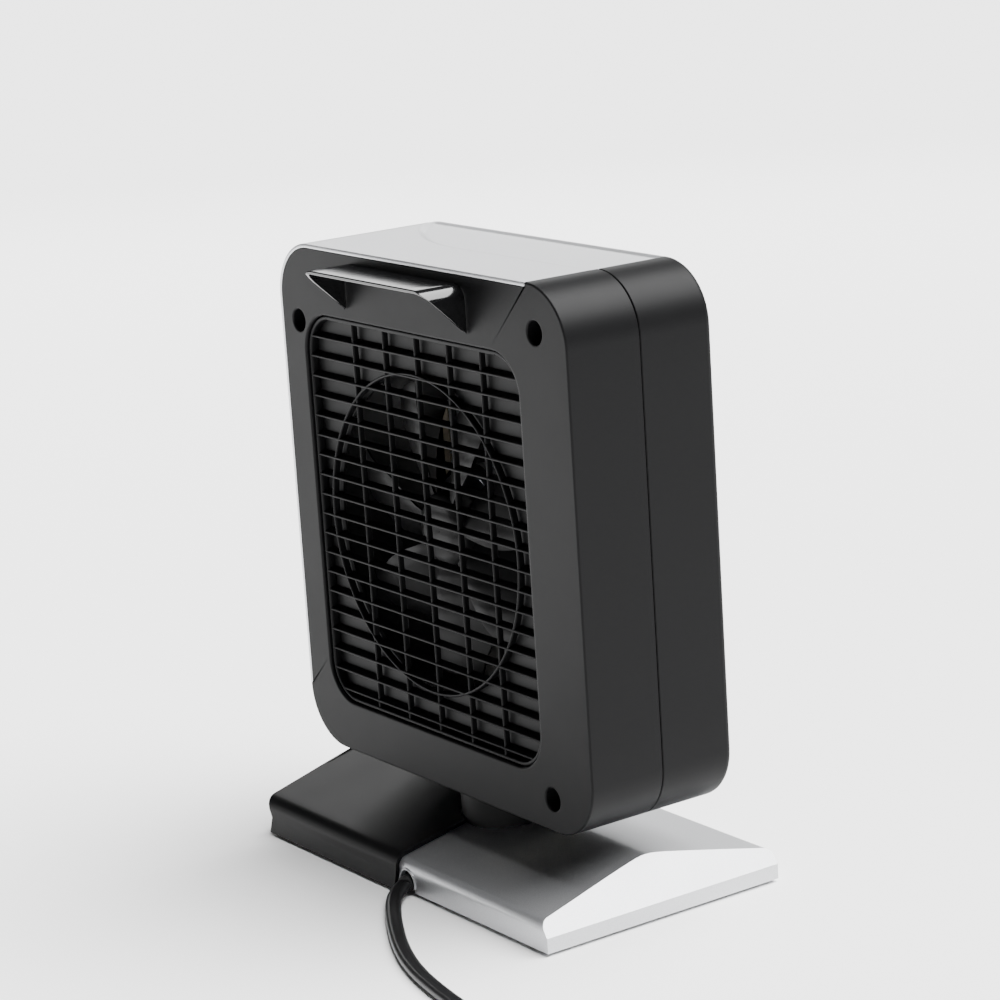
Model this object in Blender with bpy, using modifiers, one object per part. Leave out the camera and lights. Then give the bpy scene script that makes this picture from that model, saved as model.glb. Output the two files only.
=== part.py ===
"""Ceramic space heater: a flat fan heater head that swivels on a low two-tone base.

Metres, +Z up. Hot air leaves towards -Y and the fan draws in at +Y. Every piece is built about the swivel
axis, x = y = 0, and the whole heater hangs from one empty that centres its outline on the origin.
"""
import math

import bmesh
import bpy
from mathutils import Matrix, Vector

# ---------------------------------------------------------------- driving dimensions
CLEARANCE = 0.0003          # between pieces that touch
RUNNING = 0.0005            # between pieces that turn or slide past each other

# head casing
HEAD_WIDTH = 0.190
HEAD_HEIGHT = 0.205
HEAD_DEPTH = 0.065
HEAD_CORNER = 0.0225
CASING_WALL = 0.0028
FRONT_LIP = 0.0012          # black rim in front of the silver band
BAND_THICKNESS = 0.0015

# inlet grille, its opening and the baffle behind it
INLET_WIDTH = 0.1430
INLET_HEIGHT = 0.1574
INLET_CORNER = 0.016
INLET_OFFSET_X = 0.0070     # the openings sit off centre, beside the controls
INLET_CENTRE_UP = 0.0990    # above the underside of the head
GRILLE_SET_BACK = 0.0012
GRILLE_DEPTH = 0.0032
GRILLE_RIM = 0.0016
GRILLE_FLANGE = 0.0020
BAR_SET_BACK = 0.0002       # bars stop just short of the rim's faces
SLAT_COUNT = 20
SLAT_PITCH = 0.00797
SLAT_LOWEST_UP = 0.0248
SLAT_THICKNESS = 0.0013
RIB_COUNT = 5
RIB_PITCH = 0.0214
RIB_OFFSET_X = 0.0040
RIB_THICKNESS = 0.0012
RING_RADIUS = 0.0622
RING_THICKNESS = 0.0014
BAFFLE_THICKNESS = 0.0016

# outlet grille
LOUVRE_COUNT = 13
LOUVRE_PITCH = 0.0115
LOUVRE_THICKNESS = 0.0016

# fan and motor
FAN_RADIUS = 0.0580
FAN_DEPTH = 0.0120
HUB_RADIUS = 0.0150
BLADE_COUNT = 7
BLADE_PITCH_DEG = 32.0
BLADE_THICKNESS = 0.0016
SHAFT_RADIUS = 0.0016
MOTOR_RADIUS = 0.0210
MOTOR_LENGTH = 0.0230
DUCT_WALL = 0.0015
DUCT_TIP_GAP = 0.0030
FAN_BEHIND_BAFFLE = 0.0030
MOTOR_BEHIND_FAN = 0.0020
SHAFT_INSET = 0.0040        # into the motor
SHAFT_END_INSET = 0.0030    # into the hub
BRACKET_WALL = 0.0030
BRACKET_INSET = 0.0030      # from the motor's rear face
BRACKET_DEPTH = 0.0040
BRACKET_ARMS = 3

# ceramic heating element
HEATER_WIDTH = 0.1000
HEATER_DEPTH = 0.0100
FIN_HEIGHT = 0.0250
FIN_ROWS = 3
CERAMIC_THICKNESS = 0.0024
HEATER_FRAME_WALL = 0.0040
CERAMIC_INSET = 0.0010      # each side, behind the fins' edges
TERMINAL_APART = 0.0120     # from the middle of the frame
TERMINAL_HALF = 0.0031
TERMINAL_INSIDE = 0.0037
TERMINAL_OUTSIDE = 0.0060
CUT_OUT_RADIUS = 0.0055
CUT_OUT_HEIGHT = 0.0060

# controls on the wide front margin
CONTROL_OFFSET_X = -0.0775
THERMOSTAT_UP = 0.1420
FUNCTION_UP = 0.1050
BUTTON_UP = 0.0720
PILOT_UP = 0.1720
KNOB_RADIUS = 0.0085
KNOB_HEIGHT = 0.0058
STEM_RADIUS = 0.0030
STEM_LENGTH = 0.0120
BUTTON_RADIUS = 0.0060
BUTTON_PROUD = 0.0040
BUTTON_TRAVEL = 0.0025
BUTTON_FLANGE_WIDTH = 0.0015
BUTTON_FLANGE_DEPTH = 0.0014
BUTTON_FLANGE_INSIDE = 0.0012       # of that, below the stop
BUTTON_POCKET_ROOM = 0.0021
BUTTON_SWITCH_WALL = 0.0042
BUTTON_SWITCH_DEPTH = 0.0100
PILOT_RADIUS = 0.0025
PILOT_PROUD = 0.0009
POINTER_HALF_WIDTH = 0.0012
POINTER_PROUD = 0.0014
SWITCH_WIDTH = 0.0180
SWITCH_DEPTH = 0.0150
SWITCH_HEIGHT = 0.0220

# rear screws: across from the swivel axis, up from the underside of the head
SCREW_PLACES = {
    "rear_screw_top_left": (0.0820, 0.1739),
    "rear_screw_top_right": (-0.0763, 0.1873),
    "rear_screw_bottom_right": (-0.0700, 0.0125),
}
SCREW_HOLE_RADIUS = 0.0044
SCREW_HEAD_RADIUS = 0.0034
SCREW_SHANK_RADIUS = 0.0017
SCREW_HEAD_HEIGHT = 0.0022
SCREW_SLOT_DEPTH = 0.0010
SCREW_BITE = 0.0100         # length of shank inside the boss
SCREW_BORE_DEPTH = 0.0120
BOSS_RADIUS = 0.0040
SCREW_SET_BACK = 0.0100     # depth of the boss ends below the rear face
TUBE_RADIUS = 0.0055
TUBE_FLOOR = 0.0015

# carry handle hood
HOOD_LOW_X = -0.0350
HOOD_HIGH_X = 0.0470
HOOD_TOP_UP = 0.2003
HOOD_HEIGHT = 0.0183
HOOD_REACH = 0.0180
HOOD_WALL = 0.0016
HOOD_CORNER = 0.0050

# base
BASE_SILVER_END = 0.0920
BASE_BLACK_END = 0.0945
BASE_DEPTH = 0.1086
RIDGE_ABOVE_SKIRT = 0.0221
ROOF_SLOPE = 0.199
END_SKIRT = 0.0059
END_LEAN = 0.70             # run over rise of both slanted ends
EAVE_RADIUS = 0.0040
RIDGE_FLAT = 0.0040
BASE_WALL = 0.0020
WING_THICKNESS = 0.0015
WING_EDGE_X = 0.0035
HEAD_ABOVE_SKIRT = 0.0354
FOOT_HEIGHT = 0.0013
FOOT_RADIUS = 0.0060
FOOT_INSET_X = 0.0120
FOOT_INSET_Y = 0.0090
PLATE_THICKNESS = 0.0020
END_WALL = 1.25 * BASE_WALL         # measured along X, as the ends lean
ARCH_REACH = 0.0060
BASE_SCREW_INSET = 0.0160           # from the foot beside it
BASE_SCREW_RADIUS = 0.0016
BASE_SCREW_HEAD = 0.0030
BASE_SCREW_LENGTH = 0.0050

# swivel
POST_RADIUS = 0.0120
POST_BORE = 0.0085
COLLAR_RADIUS = 0.0220
WASHER_THICKNESS = 0.0010
RETAINER_RADIUS = 0.0220
RETAINER_THICKNESS = 0.0020
SWING_DEG = 28.0            # each way
CRANK_DISTANCE = 0.0320     # from the swivel axis
CRANK_THROW = CRANK_DISTANCE * math.sin(math.radians(SWING_DEG))
CRANK_WIDTH = 0.0070
CRANK_THICKNESS = 0.0020
CRANK_PIN_RADIUS = 0.0015
LEVER_WIDTH = 0.0108
LEVER_END_WALL = 0.0030
OSCILLATOR_RADIUS = 0.0180
OSCILLATOR_HEIGHT = 0.0120
OSCILLATOR_AXLE = 0.0024
BRIDGE_HALF = 0.0240
BRIDGE_THICKNESS = 0.0020
BRIDGE_LEG_WIDTH = 0.0140
LEVER_THICKNESS = 0.0020
CRANK_ABOVE_LEVER = 0.0020
AXLE_ABOVE_CRANK = 0.0060

# tip-over switch in the base
TIP_X = 0.0500
TIP_Y = -0.0150
PLUNGER_RADIUS = 0.0025
PLUNGER_FLANGE = 0.0042
PLUNGER_GROUND_GAP = 0.0003
SPRING_RADIUS = 0.0034
SPRING_WIRE = 0.00035
SPRING_TURNS = 5
SPRING_STEPS = 10                   # a turn
FLANGE_ABOVE_PLATE = 0.0035
FLANGE_THICKNESS = 0.0012
SWITCH_ABOVE_FLANGE = 0.0048
TIP_SWITCH_HALF = (0.0100, 0.0050)
TIP_SWITCH_HEIGHT = 0.0038
TERMINAL_BLOCK_LOW = (0.024, 0.014)
TERMINAL_BLOCK_SIZE = (0.020, 0.016, 0.0085)

# cord
CORD_WIDTH = 0.0063
CORD_HOLE_X = -0.0015
CORD_HOLE_RADIUS = 0.0046
CORD_RISE = 0.0034          # cord centre above the skirt's lower edge, where it leaves the base
RELIEF_LENGTH = 0.0240
RELIEF_OUTSIDE = 0.0030
RELIEF_ROOT = 0.0043
RELIEF_NECK = 0.0034        # where it passes the skirt
RELIEF_NECK_LENGTH = 0.0080
RELIEF_TURN_DEG = 25.0      # towards -X, as the cord leaves aslant
CORD_ROUTE = [              # from the exit, along the table: across, back, and height of the centre line
    (0.0000, 0.0000, 0.0047),
    (-0.0018, 0.0038, 0.0044),
    (-0.0052, 0.0080, 0.0039),
    (-0.0110, 0.0125, 0.0035),
    (-0.0195, 0.0180, 0.0033),
    (-0.0296, 0.0238, 0.0033),
    (-0.0435, 0.0312, 0.0033),
    (-0.0586, 0.0378, 0.0033),
    (-0.0744, 0.0428, 0.0033),
    (-0.0916, 0.0464, 0.0033),
    (-0.1100, 0.0492, 0.0033),
    (-0.1340, 0.0525, 0.0033),
    (-0.1590, 0.0552, 0.0033),
    (-0.1840, 0.0568, 0.0033),
    (-0.2099, 0.0573, 0.0033),
]
COIL_CENTRE = (-0.2359, 0.0160)     # from the same exit
COIL_MEAN_RADIUS = 0.0350
COIL_TURNS_ACROSS = 3
COIL_LAYERS = 2
CORD_FLAT_THICKNESS = 0.0040
PLUG_AWAY = 0.0275          # of the tail's end from the coil's centre, towards -Y
PLUG_NECK = 0.0048
PIN_INSET = 0.0050
PLUG_LENGTH = 0.0360
PLUG_HEIGHT = 0.0150
PLUG_WIDTH = 0.0340
PLUG_TAIL = 0.0180
PIN_RADIUS = 0.0024
PIN_LENGTH = 0.0190
PIN_SPACING = 0.0190

# ---------------------------------------------------------------- levels worked out from the above
SKIRT_Z = FOOT_HEIGHT
RIDGE_Z = SKIRT_Z + RIDGE_ABOVE_SKIRT
HEAD_Z = SKIRT_Z + HEAD_ABOVE_SKIRT
REAR_Y = HEAD_DEPTH / 2
FRONT_Y = -HEAD_DEPTH / 2
SEAM = CLEARANCE / 2
WING_LIFT = CLEARANCE + WING_THICKNESS
INLET_Z = HEAD_Z + INLET_CENTRE_UP
ROOF_TURN = math.atan(ROOF_SLOPE)
RIDGE_DROP = ROOF_SLOPE * RIDGE_FLAT / 2
WING_TOP = RIDGE_ABOVE_SKIRT + WING_LIFT / math.cos(ROOF_TURN) - RIDGE_DROP
APEX_X = BASE_BLACK_END + END_LEAN * (WING_TOP - END_SKIRT)
FRAME_X = (HEAD_WIDTH / 2 - APEX_X) / 2
GRILLE_OUT_Y = REAR_Y - GRILLE_SET_BACK
GRILLE_IN_Y = GRILLE_OUT_Y - GRILLE_DEPTH
BAFFLE_OUT_Y = GRILLE_IN_Y - CLEARANCE
BAFFLE_IN_Y = BAFFLE_OUT_Y - BAFFLE_THICKNESS
DUCT_RADIUS = FAN_RADIUS + DUCT_TIP_GAP
FAN_REAR_Y = BAFFLE_IN_Y - FAN_BEHIND_BAFFLE
FAN_FRONT_Y = FAN_REAR_Y - FAN_DEPTH
MOTOR_REAR_Y = FAN_FRONT_Y - MOTOR_BEHIND_FAN
MOTOR_FRONT_Y = MOTOR_REAR_Y - MOTOR_LENGTH
ELEMENT_FRONT_Y = FRONT_Y + GRILLE_SET_BACK + GRILLE_DEPTH + CLEARANCE
ELEMENT_BACK_Y = ELEMENT_FRONT_Y + HEATER_DEPTH
RELIEF_TURN = math.radians(RELIEF_TURN_DEG)
RELIEF_WAY = Vector((-math.sin(RELIEF_TURN), math.cos(RELIEF_TURN), 0.0))
SKIRT_MIDDLE = Vector((CORD_HOLE_X, BASE_DEPTH / 2 - BASE_WALL / 2, 0.0))
CORD_EXIT = SKIRT_MIDDLE + RELIEF_WAY * (BASE_WALL / 2 + RELIEF_OUTSIDE + CLEARANCE)

MODEL = "ceramic_space_heater"


# ---------------------------------------------------------------- scene and materials
def start_scene():
    """Empty the scene and open one collection for the heater and one for the cutters."""
    for old in list(bpy.data.objects):
        bpy.data.objects.remove(old, do_unlink=True)
    made = []
    for name in (MODEL, "cutters"):
        collection = bpy.data.collections.new(name)
        bpy.context.scene.collection.children.link(collection)
        made.append(collection)
    frame = bpy.data.objects.new("heater_frame", None)
    frame.location = (FRAME_X, 0.0, 0.0)
    made[0].objects.link(frame)
    return made[0], made[1], frame


PIECES, CUTTERS, FRAME = start_scene()


def material(name, colour, roughness, metallic=0.0):
    """A plain Principled finish."""
    made = bpy.data.materials.new(name)
    made.use_nodes = True
    shader = made.node_tree.nodes["Principled BSDF"]
    shader.inputs["Base Color"].default_value = (*colour, 1.0)
    shader.inputs["Roughness"].default_value = roughness
    shader.inputs["Metallic"].default_value = metallic
    return made


BLACK_SATIN = material("black_satin_plastic", (0.020, 0.020, 0.021), 0.42)
BLACK_GLOSS = material("black_gloss_plastic", (0.012, 0.012, 0.012), 0.16)
BLACK_INNER = material("black_inner_plastic", (0.015, 0.015, 0.015), 0.60)
SILVER = material("silver_lacquer", (0.62, 0.62, 0.63), 0.32, 0.85)
STEEL = material("zinc_plated_steel", (0.55, 0.55, 0.56), 0.35, 1.0)
BRASS = material("nickelled_brass", (0.66, 0.62, 0.54), 0.28, 1.0)
ALUMINIUM = material("fin_aluminium", (0.75, 0.75, 0.76), 0.38, 1.0)
CERAMIC = material("ceramic_bar", (0.72, 0.70, 0.66), 0.70)
FRAME_RESIN = material("heat_resin", (0.46, 0.42, 0.34), 0.60)
RUBBER = material("black_rubber", (0.02, 0.02, 0.02), 0.80)
WHITE_NYLON = material("white_nylon", (0.72, 0.71, 0.66), 0.50)
AMBER = material("amber_lens", (0.80, 0.30, 0.05), 0.20)
CORD_PVC = material("black_cord_pvc", (0.02, 0.02, 0.02), 0.38)


# ---------------------------------------------------------------- shapes
def settle(mesh):
    """Weld a closed mesh and turn its faces outwards."""
    work = bmesh.new()
    work.from_mesh(mesh)
    bmesh.ops.remove_doubles(work, verts=work.verts, dist=1e-6)
    bmesh.ops.recalc_face_normals(work, faces=work.faces)
    work.to_mesh(mesh)
    work.free()


def loose(name, mesh):
    """An object in assembly coordinates that hasn't been given its role yet."""
    made = bpy.data.objects.new(name, mesh)
    made.parent = FRAME
    return made


def block(name, low, high):
    """A box between two corners, from a unit cube."""
    mesh = bpy.data.meshes.new(name)
    work = bmesh.new()
    middle = [(a + b) / 2 for a, b in zip(low, high)]
    size = [b - a for a, b in zip(low, high)]
    bmesh.ops.create_cube(work, size=1.0, matrix=Matrix.Translation(middle) @ Matrix.Diagonal((*size, 1.0)))
    work.to_mesh(mesh)
    work.free()
    return loose(name, mesh)


AXIS_TURN = {
    "Z": Matrix.Identity(4),
    "Y": Matrix.Rotation(math.radians(90), 4, "X"),
    "X": Matrix(((0, 0, 1, 0), (1, 0, 0, 0), (0, 1, 0, 0), (0, 0, 0, 1))),
}


def drum(name, axis, centre, radius, length, top_radius=None, sides=24):
    """A capped cylinder or cone whose middle is at centre."""
    mesh = bpy.data.meshes.new(name)
    work = bmesh.new()
    place = Matrix.Translation(centre) @ AXIS_TURN[axis]
    bmesh.ops.create_cone(work, cap_ends=True, segments=sides, radius1=radius,
                          radius2=radius if top_radius is None else top_radius, depth=length, matrix=place)
    work.to_mesh(mesh)
    work.free()
    return loose(name, mesh)


def prism(name, axis, outlines, low, high):
    """Flat outlines, in the two directions across the axis, filled and extruded from low to high."""
    curve = bpy.data.curves.new(name, "CURVE")
    curve.dimensions = "2D"
    curve.fill_mode = "BOTH"
    curve.extrude = (high - low) / 2
    for outline in outlines:
        spline = curve.splines.new("POLY")
        spline.points.add(len(outline) - 1)
        for point, (across, up) in zip(spline.points, outline):
            point.co = (across, up, 0.0, 1.0)
        spline.use_cyclic_u = True
    mesh = mesh_of_curve(name, curve)
    middle = {"X": (1, 0, 0), "Y": (0, 1, 0), "Z": (0, 0, 1)}[axis]
    mesh.transform(Matrix.Translation(Vector(middle) * (low + high) / 2) @ AXIS_TURN[axis])
    settle(mesh)
    return loose(name, mesh)


def mesh_of_curve(name, curve):
    """The welded mesh of a curve, whose caps are loose until then."""
    holder = bpy.data.objects.new(name, curve)
    bpy.context.scene.collection.objects.link(holder)
    graph = bpy.context.evaluated_depsgraph_get()
    mesh = bpy.data.meshes.new_from_object(holder.evaluated_get(graph))
    bpy.data.objects.remove(holder)
    settle(mesh)
    return mesh


def tube(name, points, radius, smoothness=2):
    """A round bar along a row of points, with closed ends."""
    curve = bpy.data.curves.new(name, "CURVE")
    curve.dimensions = "3D"
    curve.bevel_depth = radius
    curve.bevel_resolution = smoothness
    curve.use_fill_caps = True
    spline = curve.splines.new("POLY")
    spline.points.add(len(points) - 1)
    for knot, place in zip(spline.points, points):
        knot.co = (*place, 1.0)
    return loose(name, mesh_of_curve(name, curve))


def turned(name, profile, steps=24, closed=False):
    """A profile of radius and height, run down its outer side, spun about Z with a Screw modifier."""
    mesh = bpy.data.meshes.new(name)
    edges = [(i, i + 1) for i in range(len(profile) - 1)]
    if closed:
        edges.append((len(profile) - 1, 0))
    mesh.from_pydata([(radius, 0.0, height) for radius, height in profile], edges, [])
    made = loose(name, mesh)
    screw = made.modifiers.new("spin", "SCREW")
    screw.axis = "Z"
    screw.steps = steps
    screw.render_steps = steps
    screw.use_merge_vertices = True
    screw.merge_threshold = 0.00001
    return made


def circle(centre, radius, sides=40):
    """The outline of a circle."""
    turns = [2 * math.pi * i / sides for i in range(sides)]
    return [(centre[0] + radius * math.cos(t), centre[1] + radius * math.sin(t)) for t in turns]


def arc(centre, radius, start_deg, end_deg, steps=6):
    """Points along part of a circle, both ends included."""
    turns = [math.radians(start_deg + (end_deg - start_deg) * i / steps) for i in range(steps + 1)]
    return [(centre[0] + radius * math.cos(t), centre[1] + radius * math.sin(t)) for t in turns]


def rounded_rectangle(centre, width, height, corner, steps=6):
    """A rectangle outline with round corners."""
    points = []
    for quarter, (side, level) in enumerate(((1, 1), (-1, 1), (-1, -1), (1, -1))):
        hub = (centre[0] + side * (width / 2 - corner), centre[1] + level * (height / 2 - corner))
        points += arc(hub, corner, 90 * quarter, 90 * quarter + 90, steps)
    return points


# ---------------------------------------------------------------- roles
def cutter(shape):
    """Mark a shape as a tool: it cuts or is joined, and isn't a piece."""
    CUTTERS.objects.link(shape)
    shape.hide_render = True
    shape.display_type = "WIRE"
    return shape


def combine(target, shape, operation):
    """Cut, join or trim a piece with another shape."""
    step = target.modifiers.new(operation.lower(), "BOOLEAN")
    step.operation = operation
    step.solver = "EXACT"
    step.object = shape


def cut(target, *shapes):
    """Take shapes away from a piece."""
    for shape in shapes:
        if shape.name not in CUTTERS.objects:
            cutter(shape)
        combine(target, shape, "DIFFERENCE")


def join(target, *shapes):
    """Melt shapes into a piece."""
    for shape in shapes:
        if shape.name not in CUTTERS.objects:
            cutter(shape)
        combine(target, shape, "UNION")


def trim(target, shape):
    """Keep only what lies inside a shape."""
    if shape.name not in CUTTERS.objects:
        cutter(shape)
    combine(target, shape, "INTERSECT")


def merge_boxes(name, shapes):
    """Put separate boxes into one mesh, which is then joined to a frame."""
    work = bmesh.new()
    for shape in shapes:
        work.from_mesh(shape.data)
        bpy.data.objects.remove(shape)
    mesh = bpy.data.meshes.new(name)
    work.to_mesh(mesh)
    work.free()
    return loose(name, mesh)


def piece(shape, finish, pivot=None, smooth=False):
    """Make a shape a named piece of the heater, with its origin on its pivot if it has one."""
    PIECES.objects.link(shape)
    shape.data.materials.append(finish)
    if pivot is not None:
        shape.data.transform(Matrix.Translation(-Vector(pivot)))
        shape.location = pivot
    if smooth:
        shape.data.shade_smooth()
        shape.data.set_sharp_from_angle(angle=math.radians(35))
    return shape


# ---------------------------------------------------------------- head casing
def head_outline(inset):
    """The head's front outline, drawn in by inset."""
    centre = (0.0, HEAD_Z + HEAD_HEIGHT / 2)
    return rounded_rectangle(centre, HEAD_WIDTH - 2 * inset, HEAD_HEIGHT - 2 * inset, HEAD_CORNER - inset, 8)


def band_outline(outer, inner, end_gap):
    """The silver band's section: along the top, round the far corner and down that side."""
    top = HEAD_Z + HEAD_HEIGHT
    side = HEAD_WIDTH / 2
    hub = (side - HEAD_CORNER, top - HEAD_CORNER)
    start = -side + HEAD_CORNER - end_gap
    finish = HEAD_Z + HEAD_CORNER - end_gap
    over = [(start, top + outer), *arc(hub, HEAD_CORNER + outer, 90, 0, 8), (side + outer, finish)]
    under = [(side - inner, finish), *arc(hub, HEAD_CORNER - inner, 0, 90, 8), (start, top - inner)]
    return over + under


def inlet_outline(grow):
    """The outline of the inlet and outlet openings, let out by grow."""
    centre = (INLET_OFFSET_X, INLET_Z)
    return rounded_rectangle(centre, INLET_WIDTH + 2 * grow, INLET_HEIGHT + 2 * grow, INLET_CORNER + grow)


def control_hole(up, radius, name):
    """A round hole through the front wall for a stem, button or lens."""
    return drum(name, "Y", (CONTROL_OFFSET_X, FRONT_Y, HEAD_Z + up), radius, 4 * CASING_WALL)


def swivel_hole(name):
    """The hole in the floor of the head, round the swivel post."""
    return drum(name, "Z", (0, 0, HEAD_Z), POST_RADIUS + RUNNING, 4 * CASING_WALL)


def bar_along_y(name, across, up, radius, low, high, sides=16):
    """A round bar from front to back."""
    return drum(name, "Y", (across, (low + high) / 2, up), radius, high - low, sides=sides)


def make_rear_screw(name, across, up, front, rear):
    """A boss on the front shell, a counterbored tube on the rear shell, and the screw that clamps them."""
    boss_end = REAR_Y - SCREW_SET_BACK
    tube_end = boss_end + CLEARANCE
    seat = tube_end + TUBE_FLOOR
    head_low = seat + CLEARANCE
    join(front, bar_along_y(name + "_boss", across, up, BOSS_RADIUS, FRONT_Y + CASING_WALL / 2, boss_end))
    cut(front, bar_along_y(name + "_bore", across, up, SCREW_SHANK_RADIUS + CLEARANCE,
                           boss_end - SCREW_BORE_DEPTH, boss_end + 0.001, 12))
    join(rear, bar_along_y(name + "_tube", across, up, TUBE_RADIUS, tube_end, REAR_Y - CASING_WALL / 2, 20))
    cut(rear, bar_along_y(name + "_hole", across, up, SCREW_HOLE_RADIUS, seat, REAR_Y + 0.001, 20),
        bar_along_y(name + "_pass", across, up, SCREW_SHANK_RADIUS + CLEARANCE, tube_end - 0.001,
                    seat + 0.001, 12))
    screw = bar_along_y(name, across, up, SCREW_HEAD_RADIUS, head_low, head_low + SCREW_HEAD_HEIGHT)
    join(screw, bar_along_y(name + "_shank", across, up, SCREW_SHANK_RADIUS, boss_end - SCREW_BITE,
                            head_low + 0.001, 12))
    slot_low = head_low + SCREW_HEAD_HEIGHT - SCREW_SLOT_DEPTH
    cut(screw, block(name + "_slot", (across - 0.0025, slot_low, up - 0.0005),
                     (across + 0.0025, head_low + 2 * SCREW_HEAD_HEIGHT, up + 0.0005)))
    piece(screw, STEEL)


def make_casing():
    """The two casing halves, the silver band and the three rear screws."""
    pocket = CASING_WALL + 0.001
    front = prism("front_shell", "Y", [head_outline(0)], FRONT_Y, -SEAM)
    cut(front,
        prism("front_hollow", "Y", [head_outline(CASING_WALL)], FRONT_Y + CASING_WALL, 0.001),
        prism("front_band_bed", "Y", [band_outline(0.001, BAND_THICKNESS + CLEARANCE, CLEARANCE)],
              FRONT_Y + FRONT_LIP, 0.001),
        prism("outlet_opening", "Y", [inlet_outline(0)], FRONT_Y - pocket, FRONT_Y + pocket),
        control_hole(THERMOSTAT_UP, STEM_RADIUS + RUNNING, "thermostat_hole"),
        control_hole(FUNCTION_UP, STEM_RADIUS + RUNNING, "function_hole"),
        control_hole(BUTTON_UP, BUTTON_RADIUS + RUNNING, "button_hole"),
        control_hole(PILOT_UP, PILOT_RADIUS + CLEARANCE, "pilot_hole"),
        swivel_hole("front_swivel_hole"))

    rear = prism("rear_shell", "Y", [head_outline(0)], SEAM, REAR_Y)
    cut(rear,
        prism("rear_hollow", "Y", [head_outline(CASING_WALL)], -0.001, REAR_Y - CASING_WALL),
        prism("rear_band_bed", "Y", [band_outline(0.001, BAND_THICKNESS + CLEARANCE, CLEARANCE)],
              -0.001, REAR_Y + 0.001),
        prism("inlet_opening", "Y", [inlet_outline(0)], REAR_Y - pocket, REAR_Y + pocket),
        swivel_hole("rear_swivel_hole"))

    for name, (across, up) in SCREW_PLACES.items():
        make_rear_screw(name, across, HEAD_Z + up, front, rear)
    piece(front, BLACK_SATIN)
    piece(rear, BLACK_SATIN)
    piece(prism("silver_band", "Y", [band_outline(0, BAND_THICKNESS, 0)], FRONT_Y + FRONT_LIP + CLEARANCE, REAR_Y),
          SILVER)


# ---------------------------------------------------------------- grilles, baffle and handle
def grille(name, out_y, in_y, flange_y, bars):
    """A rimmed panel of bars that fills one of the two openings, with a flange behind the wall."""
    low, high = sorted((out_y, in_y))
    rim = prism(name, "Y", [inlet_outline(-CLEARANCE), inlet_outline(-CLEARANCE - GRILLE_RIM)], low, high)
    low, high = sorted(flange_y)
    join(rim, prism(name + "_flange", "Y",
                    [inlet_outline(GRILLE_FLANGE), inlet_outline(-CLEARANCE - GRILLE_RIM / 2)], low, high))
    window = cutter(prism(name + "_window", "Y", [inlet_outline(-CLEARANCE - GRILLE_RIM * 0.7)],
                          min(out_y, in_y) - 0.01, max(out_y, in_y) + 0.01))
    for bar in bars:
        trim(bar, window)
        join(rim, bar)
    return rim


def make_inlet():
    """The rear grille with its ring rib, and the baffle that closes the cells outside the ring."""
    half = INLET_WIDTH / 2 + 0.002
    slats = []
    for row in range(SLAT_COUNT):
        level = HEAD_Z + SLAT_LOWEST_UP + row * SLAT_PITCH
        slats.append(block(f"slat_{row}",
                           (INLET_OFFSET_X - half, GRILLE_IN_Y + BAR_SET_BACK, level - SLAT_THICKNESS / 2),
                           (INLET_OFFSET_X + half, GRILLE_OUT_Y - BAR_SET_BACK, level + SLAT_THICKNESS / 2)))
    ribs = []
    for column in range(RIB_COUNT):
        across = RIB_OFFSET_X + (column - (RIB_COUNT - 1) / 2) * RIB_PITCH
        ribs.append(block(f"rib_{column}", (across - RIB_THICKNESS / 2, GRILLE_IN_Y + 3 * BAR_SET_BACK, HEAD_Z),
                          (across + RIB_THICKNESS / 2, GRILLE_OUT_Y - 3 * BAR_SET_BACK, HEAD_Z + HEAD_HEIGHT)))
    centre = (INLET_OFFSET_X, INLET_Z)
    ring = prism("ring_rib", "Y", [circle(centre, RING_RADIUS + RING_THICKNESS / 2, 48),
                                   circle(centre, RING_RADIUS - RING_THICKNESS / 2, 48)],
                 GRILLE_IN_Y + 2 * BAR_SET_BACK, GRILLE_OUT_Y - 2 * BAR_SET_BACK)
    bars = [merge_boxes("slats", slats), merge_boxes("ribs", ribs), ring]
    flange = (GRILLE_IN_Y + BAR_SET_BACK / 2, REAR_Y - CASING_WALL - CLEARANCE)
    panel = grille("inlet_grille", GRILLE_OUT_Y, GRILLE_IN_Y, flange, bars)

    baffle = prism("inlet_baffle", "Y", [inlet_outline(GRILLE_FLANGE), circle(centre, DUCT_RADIUS, 40)],
                   BAFFLE_IN_Y, BAFFLE_OUT_Y)
    across, up = SCREW_PLACES["rear_screw_top_left"]
    passage = bar_along_y("tube_passage", across, HEAD_Z + up, TUBE_RADIUS + CLEARANCE, 0.0, REAR_Y + 0.01, 20)
    cut(panel, passage)
    cut(baffle, passage)
    piece(panel, BLACK_SATIN)
    piece(baffle, BLACK_INNER)


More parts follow.
